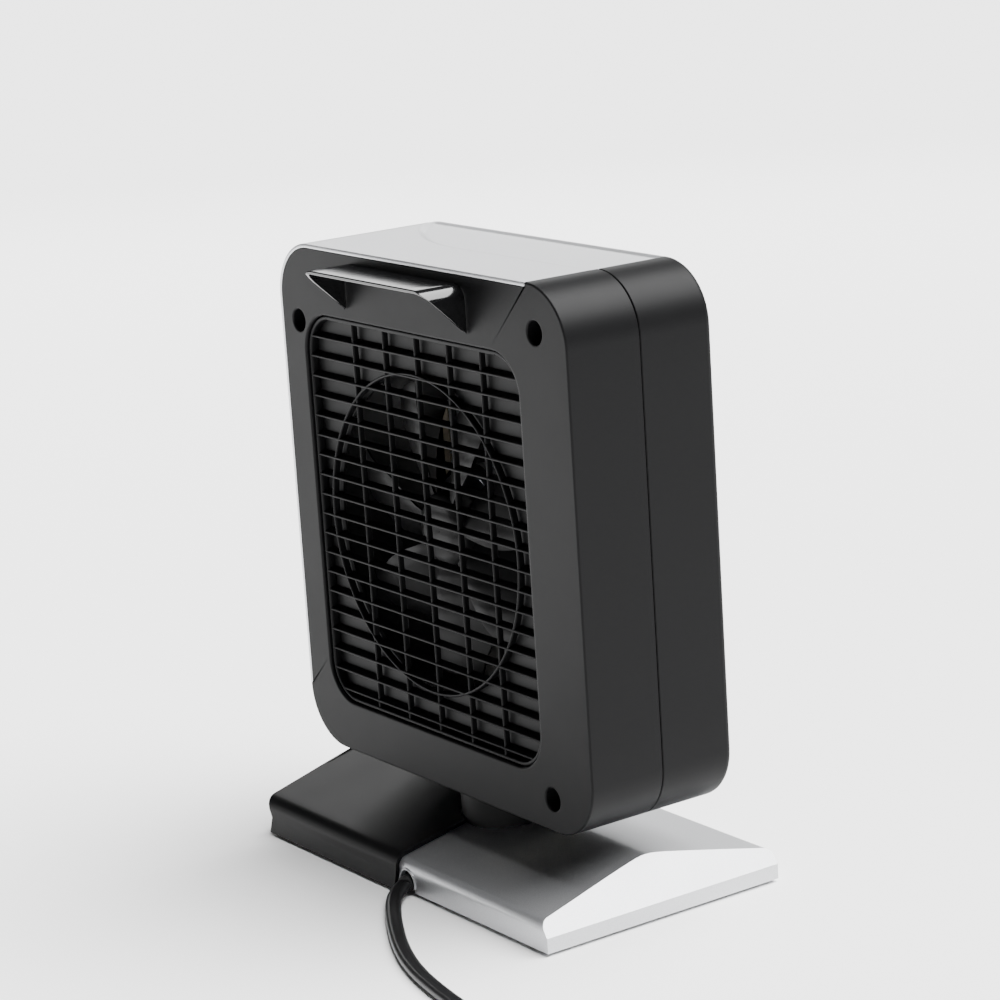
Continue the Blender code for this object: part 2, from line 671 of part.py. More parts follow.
def make_outlet():
    """The front grille: louvres tied by two uprights."""
    out_y = FRONT_Y + GRILLE_SET_BACK
    in_y = out_y + GRILLE_DEPTH
    half = INLET_WIDTH / 2 + 0.002
    louvres = []
    for row in range(LOUVRE_COUNT):
        level = INLET_Z + (row - (LOUVRE_COUNT - 1) / 2) * LOUVRE_PITCH
        louvres.append(block(f"louvre_{row}",
                             (INLET_OFFSET_X - half, out_y + BAR_SET_BACK, level - LOUVRE_THICKNESS / 2),
                             (INLET_OFFSET_X + half, in_y - BAR_SET_BACK, level + LOUVRE_THICKNESS / 2)))
    uprights = []
    for side in (-1, 1):
        across = INLET_OFFSET_X + side * INLET_WIDTH / 6
        uprights.append(block(f"upright_{side}", (across - 0.001, out_y + 2 * BAR_SET_BACK, HEAD_Z),
                              (across + 0.001, in_y - 2 * BAR_SET_BACK, HEAD_Z + HEAD_HEIGHT)))
    bars = [merge_boxes("louvres", louvres), merge_boxes("uprights", uprights)]
    flange = (FRONT_Y + CASING_WALL + CLEARANCE, in_y - BAR_SET_BACK / 2)
    piece(grille("outlet_grille", out_y, in_y, flange, bars), BLACK_SATIN)


def hood_outline(inset):
    """The hood seen from behind, drawn in by inset and open below: two upper corners are round."""
    low = HEAD_Z + HOOD_TOP_UP - 2 * HOOD_HEIGHT
    top = HEAD_Z + HOOD_TOP_UP - inset
    left = HOOD_LOW_X + inset
    right = HOOD_HIGH_X - inset
    bend = HOOD_CORNER - inset
    return [(right, low), *arc((right - bend, top - bend), bend, 0, 90, 5),
            *arc((left + bend, top - bend), bend, 90, 180, 5), (left, low)]


def make_handle():
    """The carry handle: a hood with two end walls, open below so that fingers hook up into it."""
    top = HEAD_Z + HOOD_TOP_UP
    foot = REAR_Y + CLEARANCE
    outline = [(foot, top), (foot + HOOD_REACH, top), (foot + HOOD_REACH, top - HOOD_WALL), (foot, top - HOOD_HEIGHT)]
    hood = prism("carry_handle", "X", [outline], HOOD_LOW_X, HOOD_HIGH_X)
    trim(hood, prism("hood_outside", "Y", [hood_outline(0)], foot - 0.01, foot + HOOD_REACH + 0.01))
    cut(hood, prism("finger_room", "Y", [hood_outline(HOOD_WALL)], foot - 0.01, foot + HOOD_REACH + 0.01))
    piece(hood, BLACK_GLOSS)


# ---------------------------------------------------------------- fan, motor and duct
def make_fan():
    """The impeller on its shaft, the motor, its bracket and the duct round them."""
    centre = (INLET_OFFSET_X, (FAN_FRONT_Y + FAN_REAR_Y) / 2, INLET_Z)
    pivot = Vector(centre)
    fan = drum("fan_impeller", "Y", centre, HUB_RADIUS, FAN_DEPTH, sides=28)
    blades = []
    for number in range(BLADE_COUNT):
        chord = 0.9 * FAN_DEPTH / math.sin(math.radians(BLADE_PITCH_DEG))
        blade = block(f"blade_{number}", (-chord / 2, -BLADE_THICKNESS / 2, HUB_RADIUS - 0.002),
                      (chord / 2, BLADE_THICKNESS / 2, FAN_RADIUS))
        turn = Matrix.Rotation(2 * math.pi * number / BLADE_COUNT, 4, "Y")
        pitch = Matrix.Rotation(math.radians(BLADE_PITCH_DEG), 4, "Z")
        blade.data.transform(Matrix.Translation(pivot) @ turn @ pitch)
        blades.append(blade)
    blade_set = merge_boxes("blades", blades)
    trim(blade_set, drum("blade_sweep", "Y", centre, FAN_RADIUS, FAN_DEPTH - 0.0002, sides=40))
    join(fan, blade_set)
    cut(fan, drum("hub_bore", "Y", (centre[0], centre[1] - 0.002, centre[2]), SHAFT_RADIUS + CLEARANCE,
                  FAN_DEPTH, sides=16))
    piece(fan, BLACK_INNER, pivot)

    shaft_low = MOTOR_FRONT_Y + SHAFT_INSET
    shaft_high = FAN_REAR_Y - SHAFT_END_INSET
    shaft = drum("motor_shaft", "Y", (centre[0], (shaft_low + shaft_high) / 2, centre[2]), SHAFT_RADIUS,
                 shaft_high - shaft_low, sides=16)
    piece(shaft, STEEL, pivot)

    motor = drum("fan_motor", "Y", (centre[0], (MOTOR_FRONT_Y + MOTOR_REAR_Y) / 2, centre[2]), MOTOR_RADIUS,
                 MOTOR_LENGTH, sides=28)
    bore_low = shaft_low - 0.0010
    cut(motor, drum("motor_bore", "Y", (centre[0], (bore_low + MOTOR_REAR_Y + 0.01) / 2, centre[2]),
                    SHAFT_RADIUS + RUNNING, MOTOR_REAR_Y + 0.01 - bore_low, sides=16))
    piece(motor, STEEL)

    duct_low = ELEMENT_BACK_Y + CLEARANCE
    duct_high = BAFFLE_IN_Y - CLEARANCE
    hub = (centre[0], centre[2])
    duct = prism("fan_duct", "Y", [circle(hub, DUCT_RADIUS + DUCT_WALL), circle(hub, DUCT_RADIUS)],
                 duct_low, duct_high)
    piece(duct, BLACK_INNER)

    grip = MOTOR_RADIUS + CLEARANCE
    bracket = prism("motor_bracket", "Y", [circle(hub, grip + BRACKET_WALL, 28), circle(hub, grip, 28)],
                    MOTOR_REAR_Y - BRACKET_INSET - BRACKET_DEPTH, MOTOR_REAR_Y - BRACKET_INSET)
    for number in range(BRACKET_ARMS):
        arm = block(f"bracket_arm_{number}", (-BRACKET_WALL, -BRACKET_DEPTH / 2, grip + 0.001),
                    (BRACKET_WALL, BRACKET_DEPTH / 2, DUCT_RADIUS - CLEARANCE))
        turn = Matrix.Rotation(2 * math.pi * number / BRACKET_ARMS, 4, "Y")
        middle_y = MOTOR_REAR_Y - BRACKET_INSET - BRACKET_DEPTH / 2
        arm.data.transform(Matrix.Translation((hub[0], middle_y, hub[1])) @ turn)
        join(bracket, arm)
    piece(bracket, BLACK_INNER)


# ---------------------------------------------------------------- heating element
def make_heater():
    """The ceramic element: fin packs and ceramic bars stacked in a heat-resistant frame."""
    front_y = ELEMENT_FRONT_Y
    back_y = ELEMENT_BACK_Y
    stack = FIN_ROWS * FIN_HEIGHT + (FIN_ROWS - 1) * CERAMIC_THICKNESS + 2 * (FIN_ROWS - 1) * CLEARANCE
    low_x = INLET_OFFSET_X - HEATER_WIDTH / 2
    high_x = INLET_OFFSET_X + HEATER_WIDTH / 2
    level = INLET_Z - stack / 2
    for row in range(FIN_ROWS):
        piece(block(f"fin_pack_{row + 1}", (low_x, front_y, level), (high_x, back_y, level + FIN_HEIGHT)),
              ALUMINIUM)
        level += FIN_HEIGHT + CLEARANCE
        if row < FIN_ROWS - 1:
            piece(block(f"ceramic_bar_{row + 1}", (low_x, front_y + CERAMIC_INSET, level),
                        (high_x, back_y - CERAMIC_INSET, level + CERAMIC_THICKNESS)), CERAMIC)
            level += CERAMIC_THICKNESS + CLEARANCE
    room = HEATER_WIDTH + 2 * CLEARANCE
    tall = stack + 2 * CLEARANCE
    wall = HEATER_FRAME_WALL
    frame = block("element_frame", (INLET_OFFSET_X - room / 2 - wall, front_y, INLET_Z - tall / 2 - wall),
                  (INLET_OFFSET_X + room / 2 + wall, back_y, INLET_Z + tall / 2 + wall))
    cut(frame, block("element_window", (INLET_OFFSET_X - room / 2, front_y - 0.001, INLET_Z - tall / 2),
                     (INLET_OFFSET_X + room / 2, back_y + 0.001, INLET_Z + tall / 2)))
    for side, name in ((-1, "terminal_live"), (1, "terminal_neutral")):
        across = INLET_OFFSET_X - HEATER_WIDTH / 2 - CLEARANCE - HEATER_FRAME_WALL
        tab_z = INLET_Z + side * TERMINAL_APART
        room_half = TERMINAL_HALF + CLEARANCE
        slot = block(name + "_slot", (across - 0.002, back_y - TERMINAL_INSIDE - CLEARANCE, tab_z - room_half),
                     (across + HEATER_FRAME_WALL / 2, back_y + 0.002, tab_z + room_half))
        cut(frame, slot)
        piece(block(name, (across, back_y - TERMINAL_INSIDE, tab_z - TERMINAL_HALF),
                    (across + HEATER_FRAME_WALL / 2 - CLEARANCE, back_y + TERMINAL_OUTSIDE,
                     tab_z + TERMINAL_HALF)), BRASS)
    piece(frame, FRAME_RESIN)
    cut_out_x = INLET_OFFSET_X - room / 2 - HEATER_FRAME_WALL / 2
    piece(drum("thermal_cut_out", "Y", (cut_out_x, back_y + CLEARANCE + CUT_OUT_HEIGHT / 2, INLET_Z),
               CUT_OUT_RADIUS, CUT_OUT_HEIGHT, sides=20), STEEL)


# ---------------------------------------------------------------- controls
def knob(name, up):
    """A turned knob with a stem and a raised pointer bar, turning about the front-to-back axis."""
    axis_point = (CONTROL_OFFSET_X, FRONT_Y - RUNNING, HEAD_Z + up)
    skirt = KNOB_RADIUS
    profile = [(0, KNOB_HEIGHT), (skirt - 0.002, KNOB_HEIGHT), (skirt - 0.0012, KNOB_HEIGHT - 0.0009),
               (skirt, 0.0), (STEM_RADIUS, 0.0), (STEM_RADIUS, -STEM_LENGTH), (0, -STEM_LENGTH)]
    made = turned(name, profile, 28)
    join(made, knob_pointer(name))
    made.location = axis_point
    made.rotation_euler = (math.radians(90), 0, 0)
    return made


def knob_pointer(name):
    """The pointer bar across a knob's face, in the knob's own frame."""
    return block(name + "_pointer", (-POINTER_HALF_WIDTH, -KNOB_RADIUS * 0.2, KNOB_HEIGHT - 0.001),
                 (POINTER_HALF_WIDTH, KNOB_RADIUS * 0.78, KNOB_HEIGHT + POINTER_PROUD))


def make_controls():
    """Two knobs, a push button and a pilot lens on the front, each with its switch behind."""
    back = FRONT_Y + CASING_WALL + CLEARANCE
    for name, switch, up in (("thermostat_knob", "thermostat", THERMOSTAT_UP),
                             ("function_knob", "function_switch", FUNCTION_UP)):
        made = knob(name, up)
        pointer = made.modifiers[-1].object
        pointer.location = made.location
        pointer.rotation_euler = made.rotation_euler
        piece(made, BLACK_GLOSS)
        level = HEAD_Z + up
        housing = block(switch, (CONTROL_OFFSET_X - SWITCH_WIDTH / 2, back, level - SWITCH_HEIGHT / 2),
                        (CONTROL_OFFSET_X + SWITCH_WIDTH / 2, back + SWITCH_DEPTH, level + SWITCH_HEIGHT / 2))
        depth = STEM_LENGTH + 0.001
        cut(housing, drum(switch + "_socket", "Y", (CONTROL_OFFSET_X, FRONT_Y - RUNNING + depth / 2, level),
                          STEM_RADIUS + RUNNING, depth, sides=20))
        piece(housing, WHITE_NYLON)

    level = HEAD_Z + BUTTON_UP
    inner = FRONT_Y + CASING_WALL + RUNNING
    button = drum("oscillation_button", "Y", (CONTROL_OFFSET_X, (FRONT_Y - BUTTON_PROUD + inner) / 2, level),
                  BUTTON_RADIUS, inner - FRONT_Y + BUTTON_PROUD)
    flange_y = inner + BUTTON_FLANGE_INSIDE - BUTTON_FLANGE_DEPTH / 2
    join(button, drum("button_flange", "Y", (CONTROL_OFFSET_X, flange_y, level),
                      BUTTON_RADIUS + BUTTON_FLANGE_WIDTH, BUTTON_FLANGE_DEPTH))
    piece(button, BLACK_GLOSS, (CONTROL_OFFSET_X, FRONT_Y - BUTTON_PROUD, level), smooth=True)
    switch_y = inner + BUTTON_FLANGE_INSIDE + BUTTON_TRAVEL + CLEARANCE
    reach = BUTTON_RADIUS + BUTTON_SWITCH_WALL
    housing = block("oscillation_switch", (CONTROL_OFFSET_X - reach, back, level - reach),
                    (CONTROL_OFFSET_X + reach, switch_y + BUTTON_SWITCH_DEPTH, level + reach))
    cut(housing, bar_along_y("button_pocket", CONTROL_OFFSET_X, level, BUTTON_RADIUS + BUTTON_POCKET_ROOM,
                             FRONT_Y, switch_y, 24))
    piece(housing, WHITE_NYLON)

    level = HEAD_Z + PILOT_UP
    inside = FRONT_Y + CASING_WALL + 0.0001
    lens = bar_along_y("pilot_lens", CONTROL_OFFSET_X, level, PILOT_RADIUS, FRONT_Y - PILOT_PROUD, inside, 20)
    piece(lens, AMBER)


# ---------------------------------------------------------------- base
def roof_outline(grow, floor):
    """The base's end section: skirts, rounded eaves, two slopes and a flattened ridge, let out by grow."""
    half = BASE_DEPTH / 2 + grow
    ridge = RIDGE_Z + grow / math.cos(ROOF_TURN)
    eave = ridge - ROOF_SLOPE * half
    radius = max(EAVE_RADIUS + grow, 0.0005)
    reach = radius * math.tan((math.pi / 2 - ROOF_TURN) / 2)
    hub = (half - radius, eave - reach)
    side = [(half, floor), *arc(hub, radius, 0, 90 - math.degrees(ROOF_TURN), 4)]
    crown = [(RIDGE_FLAT, ridge - ROOF_SLOPE * RIDGE_FLAT), (0.0, ridge - RIDGE_DROP)]
    near = side + crown
    return near + [(-y, z) for y, z in reversed(near[:-1])]


def end_cut(name, side, foot_x, grow):
    """Tool that trims one end: upright to the skirt's height, then leaning towards +X."""
    knee = SKIRT_Z + END_SKIRT
    high = RIDGE_Z + 0.02
    lean = END_LEAN * (high - knee)
    far = foot_x + side * 0.2
    outline = [(foot_x, -0.02), (foot_x, knee), (foot_x + lean, high), (far, high), (far, -0.02)]
    return prism(name, "Y", [outline], -BASE_DEPTH - grow, BASE_DEPTH + grow)


def roof_solid(name, grow, floor, low_x, high_x, ends):
    """A length of the base's section with one or both slanted ends."""
    made = prism(name, "X", [roof_outline(grow, floor)], low_x - 0.03, high_x + 0.03)
    for side, foot_x in ends:
        cut(made, end_cut(f"{name}_end_{'far' if side > 0 else 'near'}", side, foot_x, grow))
    return made


def make_base():
    """Silver shell, black wing over half of it, floor plate, feet and screws."""
    inner_end = BASE_BLACK_END - WING_LIFT
    shell = roof_solid("base_shell", 0.0, SKIRT_Z, -BASE_SILVER_END, inner_end,
                       ((-1, -BASE_SILVER_END), (1, inner_end)))
    hollow = roof_solid("base_hollow", -BASE_WALL, SKIRT_Z - 0.01, -BASE_SILVER_END, inner_end,
                        ((-1, -BASE_SILVER_END + END_WALL), (1, inner_end - END_WALL)))
    cut(shell, hollow)
    cut(shell, drum("post_hole", "Z", (0, 0, RIDGE_Z), POST_RADIUS + CLEARANCE, 0.02))
    arch = CORD_HOLE_RADIUS
    rise = SKIRT_Z + CORD_RISE
    arch_outline = [(CORD_HOLE_X + arch, SKIRT_Z - 0.01), *arc((CORD_HOLE_X, rise), arch, 0, 180, 8),
                    (CORD_HOLE_X - arch, SKIRT_Z - 0.01)]
    cut(shell, prism("cord_arch", "Y", [arch_outline], BASE_DEPTH / 2 - ARCH_REACH,
                     BASE_DEPTH / 2 + ARCH_REACH))
    piece(shell, SILVER)

    wing = roof_solid("base_wing", WING_LIFT, SKIRT_Z + 0.0004, 0, BASE_BLACK_END, ((1, BASE_BLACK_END),))
    cut(wing, block("wing_end", (-0.1, -BASE_DEPTH, -0.02), (WING_EDGE_X, BASE_DEPTH, 0.06)),
        roof_solid("wing_room", CLEARANCE, SKIRT_Z - 0.01, -0.01, inner_end, ((1, inner_end + CLEARANCE),)),
        drum("wing_post_hole", "Z", (0, 0, RIDGE_Z), COLLAR_RADIUS + RUNNING, 0.03, sides=32))
    piece(wing, BLACK_SATIN)

    low_x = -BASE_SILVER_END + END_WALL + CLEARANCE
    high_x = inner_end - END_WALL - CLEARANCE
    half = BASE_DEPTH / 2 - BASE_WALL - CLEARANCE
    plate = block("base_plate", (low_x, -half, SKIRT_Z), (high_x, half, SKIRT_Z + PLATE_THICKNESS))
    cut(plate, drum("plunger_hole", "Z", (TIP_X, TIP_Y, SKIRT_Z), PLUNGER_RADIUS + RUNNING, 0.01, sides=16))
    inner = CORD_EXIT - RELIEF_WAY * (RELIEF_LENGTH + CLEARANCE)
    room = RELIEF_ROOT + 0.001
    cut(plate, block("cord_notch", (CORD_HOLE_X - room, inner.y - room, -0.01), (inner.x + room, BASE_DEPTH, 0.02)))
    for number, (side, back) in enumerate(((-1, -1), (1, -1), (-1, 1), (1, 1)), 1):
        edge_x = low_x if side < 0 else high_x
        foot_x = edge_x - side * FOOT_INSET_X
        foot_y = back * (half - FOOT_INSET_Y)
        piece(drum(f"foot_{number}", "Z", (foot_x, foot_y, (FOOT_HEIGHT - CLEARANCE) / 2), FOOT_RADIUS,
                   FOOT_HEIGHT - CLEARANCE, sides=20), RUBBER)
        if side != back:
            continue
        screw_x = foot_x - side * BASE_SCREW_INSET
        name = f"base_screw_{number}"
        cut(plate, drum(name + "_hole", "Z", (screw_x, foot_y, SKIRT_Z), BASE_SCREW_RADIUS + CLEARANCE, 0.01, sides=12))
        screw = drum(name, "Z", (screw_x, foot_y, SKIRT_Z - 2 * CLEARANCE), BASE_SCREW_HEAD, 2 * CLEARANCE, sides=12)
        join(screw, drum(name + "_shank", "Z", (screw_x, foot_y, SKIRT_Z - 0.001 + BASE_SCREW_LENGTH / 2),
                         BASE_SCREW_RADIUS, BASE_SCREW_LENGTH, sides=12))
        piece(screw, STEEL)
    piece(plate, BLACK_INNER)


# ---------------------------------------------------------------- swivel and its drive
def make_swivel():
    """The hollow post that stands in the base, with washer, retainer and slotted lever inside the head."""
    plate_top = SKIRT_Z + PLATE_THICKNESS + CLEARANCE
    collar_low = RIDGE_Z - ROOF_SLOPE * COLLAR_RADIUS - 0.0020
    collar_high = HEAD_Z - CLEARANCE - WASHER_THICKNESS - CLEARANCE
    retainer_low = HEAD_Z + CASING_WALL + RUNNING
    lever_low = retainer_low + RETAINER_THICKNESS + CLEARANCE
    lever_high = lever_low + LEVER_THICKNESS
    post = drum("swivel_post", "Z", (0, 0, (plate_top + lever_high) / 2), POST_RADIUS, lever_high - plate_top,
                sides=32)
    collar = drum("post_collar", "Z", (0, 0, (collar_low + collar_high) / 2), COLLAR_RADIUS,
                  collar_high - collar_low, sides=32)
    cut(collar, prism("collar_seat", "X", [roof_outline(CLEARANCE, 0.0)], -0.03, 0.03))
    join(post, collar)
    cut(post, drum("post_bore", "Z", (0, 0, HEAD_Z), POST_BORE, 0.2, sides=24))
    piece(post, BLACK_SATIN)

    def ring(name, inner, outer, low, high, finish):
        """A flat ring round the swivel axis."""
        piece(prism(name, "Z", [circle((0, 0), outer, 32), circle((0, 0), inner, 32)], low, high), finish)

    ring("thrust_washer", POST_RADIUS + CLEARANCE, COLLAR_RADIUS, collar_high + CLEARANCE,
         HEAD_Z - CLEARANCE, WHITE_NYLON)
    ring("retaining_ring", POST_RADIUS + CLEARANCE, RETAINER_RADIUS, retainer_low,
         retainer_low + RETAINER_THICKNESS, STEEL)

    slot_half = CRANK_THROW + CRANK_PIN_RADIUS + CLEARANCE
    tip = CRANK_DISTANCE + slot_half + LEVER_END_WALL
    outline = rounded_rectangle((-tip / 2, 0), tip, LEVER_WIDTH, LEVER_WIDTH / 2 - 0.0001, 4)
    lever = prism("slotted_lever", "Z", [outline], lever_low, lever_high)
    join(lever, prism("lever_eye", "Z", [circle((0, 0), POST_RADIUS + 0.0030, 32)], lever_low + 0.0001,
                      lever_high - 0.0001))
    slot = rounded_rectangle((-CRANK_DISTANCE, 0), 2 * slot_half, 2 * (CRANK_PIN_RADIUS + CLEARANCE),
                             CRANK_PIN_RADIUS, 3)
    cut(lever, prism("lever_slot", "Z", [slot], lever_low - 0.01, lever_high + 0.01),
        drum("lever_bore", "Z", (0, 0, lever_low), POST_RADIUS + CLEARANCE, 0.02, sides=32))
    piece(lever, STEEL)
    make_drive(lever_high)


def make_drive(lever_high):
    """The oscillation motor with its crank, hung from a bridge that stands on the floor of the head."""
    axle_x = -CRANK_DISTANCE
    crank_low = lever_high + CRANK_ABOVE_LEVER
    crank_high = crank_low + CRANK_THICKNESS
    axle_top = crank_high + AXLE_ABOVE_CRANK
    outline = rounded_rectangle((axle_x - CRANK_THROW / 2, 0), CRANK_THROW + CRANK_WIDTH, CRANK_WIDTH,
                                CRANK_WIDTH / 2 - 0.0001, 4)
    crank = prism("drive_crank", "Z", [outline], crank_low, crank_high)
    pin_low = lever_high + RUNNING
    pin_high = crank_high - 0.0005
    join(crank, drum("crank_axle", "Z", (axle_x, 0, (crank_low + 0.0005 + axle_top) / 2), OSCILLATOR_AXLE,
                     axle_top - crank_low - 0.0005, sides=16),
         drum("crank_pin", "Z", (axle_x - CRANK_THROW, 0, (pin_low + pin_high) / 2), CRANK_PIN_RADIUS,
              pin_high - pin_low, sides=12))
    piece(crank, WHITE_NYLON, (axle_x, 0, crank_low))

    motor_low = crank_high + RUNNING
    motor_high = motor_low + OSCILLATOR_HEIGHT
    motor = drum("oscillation_motor", "Z", (axle_x, 0, (motor_low + motor_high) / 2), OSCILLATOR_RADIUS,
                 OSCILLATOR_HEIGHT, sides=28)
    cut(motor, drum("oscillator_socket", "Z", (axle_x, 0, motor_low), OSCILLATOR_AXLE + RUNNING,
                    2 * (axle_top - motor_low) + 0.001, sides=16))
    piece(motor, STEEL)

    deck = motor_high + CLEARANCE
    leg_foot = HEAD_Z + CASING_WALL + CLEARANCE
    near_x = axle_x + OSCILLATOR_RADIUS + 2 * BRIDGE_THICKNESS
    bridge = block("oscillation_bracket", (axle_x - OSCILLATOR_RADIUS - BRIDGE_THICKNESS, -BRIDGE_HALF, deck),
                   (near_x, BRIDGE_HALF, deck + BRIDGE_THICKNESS))
    for side in (-1, 1):
        low, high = sorted((side * BRIDGE_HALF, side * (BRIDGE_HALF - BRIDGE_THICKNESS)))
        join(bridge, block(f"bridge_leg_{side}", (near_x - BRIDGE_LEG_WIDTH, low, leg_foot),
                           (near_x - 0.0001, high - 0.0001, deck + BRIDGE_THICKNESS / 2)))
    piece(bridge, STEEL)


# ---------------------------------------------------------------- tip-over switch and supply terminals
def make_base_switches():
    """The plunger that the table pushes up, its spring and switch, and the terminal block."""
    plate_top = SKIRT_Z + PLATE_THICKNESS
    flange_low = plate_top + FLANGE_ABOVE_PLATE
    flange_high = flange_low + FLANGE_THICKNESS
    plunger = drum("tip_over_plunger", "Z", (TIP_X, TIP_Y, (PLUNGER_GROUND_GAP + flange_high) / 2), PLUNGER_RADIUS,
                   flange_high - PLUNGER_GROUND_GAP, sides=20)
    join(plunger, drum("plunger_flange", "Z", (TIP_X, TIP_Y, (flange_low + flange_high) / 2), PLUNGER_FLANGE,
                       FLANGE_THICKNESS, sides=20))
    piece(plunger, WHITE_NYLON, (TIP_X, TIP_Y, PLUNGER_GROUND_GAP))

    switch_low = flange_high + SWITCH_ABOVE_FLANGE
    turns = []
    steps = SPRING_STEPS * SPRING_TURNS
    low = flange_high + SPRING_WIRE + CLEARANCE
    high = switch_low - SPRING_WIRE - CLEARANCE
    for step in range(steps + 1):
        angle = 2 * math.pi * step / SPRING_STEPS
        turns.append((TIP_X + SPRING_RADIUS * math.cos(angle), TIP_Y + SPRING_RADIUS * math.sin(angle),
                      low + (high - low) * step / steps))
    piece(tube("tip_over_spring", turns, SPRING_WIRE, 1), STEEL)
    wide, deep = TIP_SWITCH_HALF
    switch = block("tip_over_switch", (TIP_X - wide, TIP_Y - deep, switch_low),
                   (TIP_X + wide, TIP_Y + deep, switch_low + TIP_SWITCH_HEIGHT))
    join(switch, block("switch_leg", (TIP_X + wide - 0.0035, TIP_Y - deep + 0.0005, plate_top + CLEARANCE),
                       (TIP_X + wide - 0.0005, TIP_Y + deep - 0.0005, switch_low + TIP_SWITCH_HEIGHT / 2)))
    piece(switch, WHITE_NYLON)

    low = (*TERMINAL_BLOCK_LOW, plate_top + CLEARANCE)
    high = [corner + size for corner, size in zip(low, TERMINAL_BLOCK_SIZE)]
    piece(block("terminal_block", low, high), WHITE_NYLON)


def make_cord():
    """Strain relief, cord tube, coil and plug, lying on the table."""
    rise = SKIRT_Z + CORD_RISE
    tip = CORD_WIDTH / 2 + 0.0002
    neck_low = RELIEF_LENGTH - RELIEF_NECK_LENGTH
    profile = [(0, RELIEF_LENGTH), (tip, RELIEF_LENGTH), (RELIEF_NECK, neck_low), (RELIEF_ROOT, neck_low - 0.002),
               (RELIEF_ROOT, 0.0), (0, 0.0)]
    relief = turned("strain_relief", profile, 20)
    relief.location = CORD_EXIT - RELIEF_WAY * (RELIEF_LENGTH + CLEARANCE) + Vector((0.0, 0.0, rise))
    relief.rotation_euler = (math.radians(-90), 0, RELIEF_TURN)
    piece(relief, RUBBER)

    route = [Vector((CORD_EXIT.x + across, CORD_EXIT.y + back, height)) for across, back, height in CORD_ROUTE]
    piece(tube("mains_cord", smooth_route(route, 4), CORD_WIDTH / 2, 3), CORD_PVC)

    centre = Vector((CORD_EXIT.x + COIL_CENTRE[0], CORD_EXIT.y + COIL_CENTRE[1], 0.0))
    span = COIL_TURNS_ACROSS * CORD_WIDTH / 2 + 0.0003
    thick = COIL_LAYERS * CORD_FLAT_THICKNESS + 0.0004
    inner = COIL_MEAN_RADIUS - span
    outer = COIL_MEAN_RADIUS + span
    low = 0.0003
    section = [(outer - 0.0015, low + thick), (outer, low + thick - 0.0015), (outer, low + 0.0015),
               (outer - 0.0015, low), (inner + 0.0015, low), (inner, low + 0.0015),
               (inner, low + thick - 0.0015), (inner + 0.0015, low + thick)]
    coil = turned("cord_coil", section, 36, closed=True)
    coil.location = centre
    piece(coil, CORD_PVC)

    make_plug(centre + Vector((-COIL_MEAN_RADIUS - CORD_WIDTH, -PLUG_AWAY, 0)))


def smooth_route(route, pieces):
    """More points on a smooth curve through the route's own points."""
    points = []
    last = len(route) - 1
    for index in range(last):
        before = route[max(index - 1, 0)]
        here = route[index]
        after = route[index + 1]
        beyond = route[min(index + 2, last)]
        for step in range(pieces):
            t = step / pieces
            points.append(0.5 * ((2 * here) + (after - before) * t
                                 + (2 * before - 5 * here + 4 * after - beyond) * t ** 2
                                 + (3 * here - before - 3 * after + beyond) * t ** 3))
    points.append(route[-1])
    return points


def make_plug(start):
    """The mains plug, lying towards -Y: a flat rounded body with a tapered tail and two round pins."""
    half = PLUG_WIDTH / 2
    low = 0.0004
    shoulder = start.y - PLUG_TAIL
    face = shoulder - PLUG_LENGTH
    waist = start.y - 0.6 * PLUG_TAIL
    outline = [(start.x + PLUG_NECK, start.y), (start.x - PLUG_NECK, start.y), (start.x - PLUG_NECK - 0.0008, waist)]
    outline += arc((start.x - half + 0.008, shoulder - 0.008), 0.008, 120, 180, 4)
    outline += arc((start.x - half + 0.005, face + 0.005), 0.005, 180, 270, 4)
    outline += arc((start.x + half - 0.005, face + 0.005), 0.005, 270, 360, 4)
    outline += arc((start.x + half - 0.008, shoulder - 0.008), 0.008, 0, 60, 4)
    outline += [(start.x + PLUG_NECK + 0.0008, waist)]
    plug = prism("mains_plug", "Z", [outline], low, low + PLUG_HEIGHT)
    middle = low + PLUG_HEIGHT / 2
    for side, name in ((-1, "plug_pin_left"), (1, "plug_pin_right")):
        across = start.x + side * PIN_SPACING / 2
        cut(plug, bar_along_y(name + "_socket", across, middle, PIN_RADIUS + CLEARANCE, face - 0.001,
                              face + PIN_INSET + 0.001))
        piece(bar_along_y(name, across, middle, PIN_RADIUS, face - PIN_LENGTH, face + PIN_INSET), BRASS)
    piece(plug, BLACK_SATIN)


make_casing()
make_inlet()
make_outlet()
make_handle()
make_fan()
make_heater()
make_controls()
make_base()
make_swivel()
make_base_switches()
make_cord()
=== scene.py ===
import math

import bpy
import numpy as np
from mathutils import Matrix, Vector


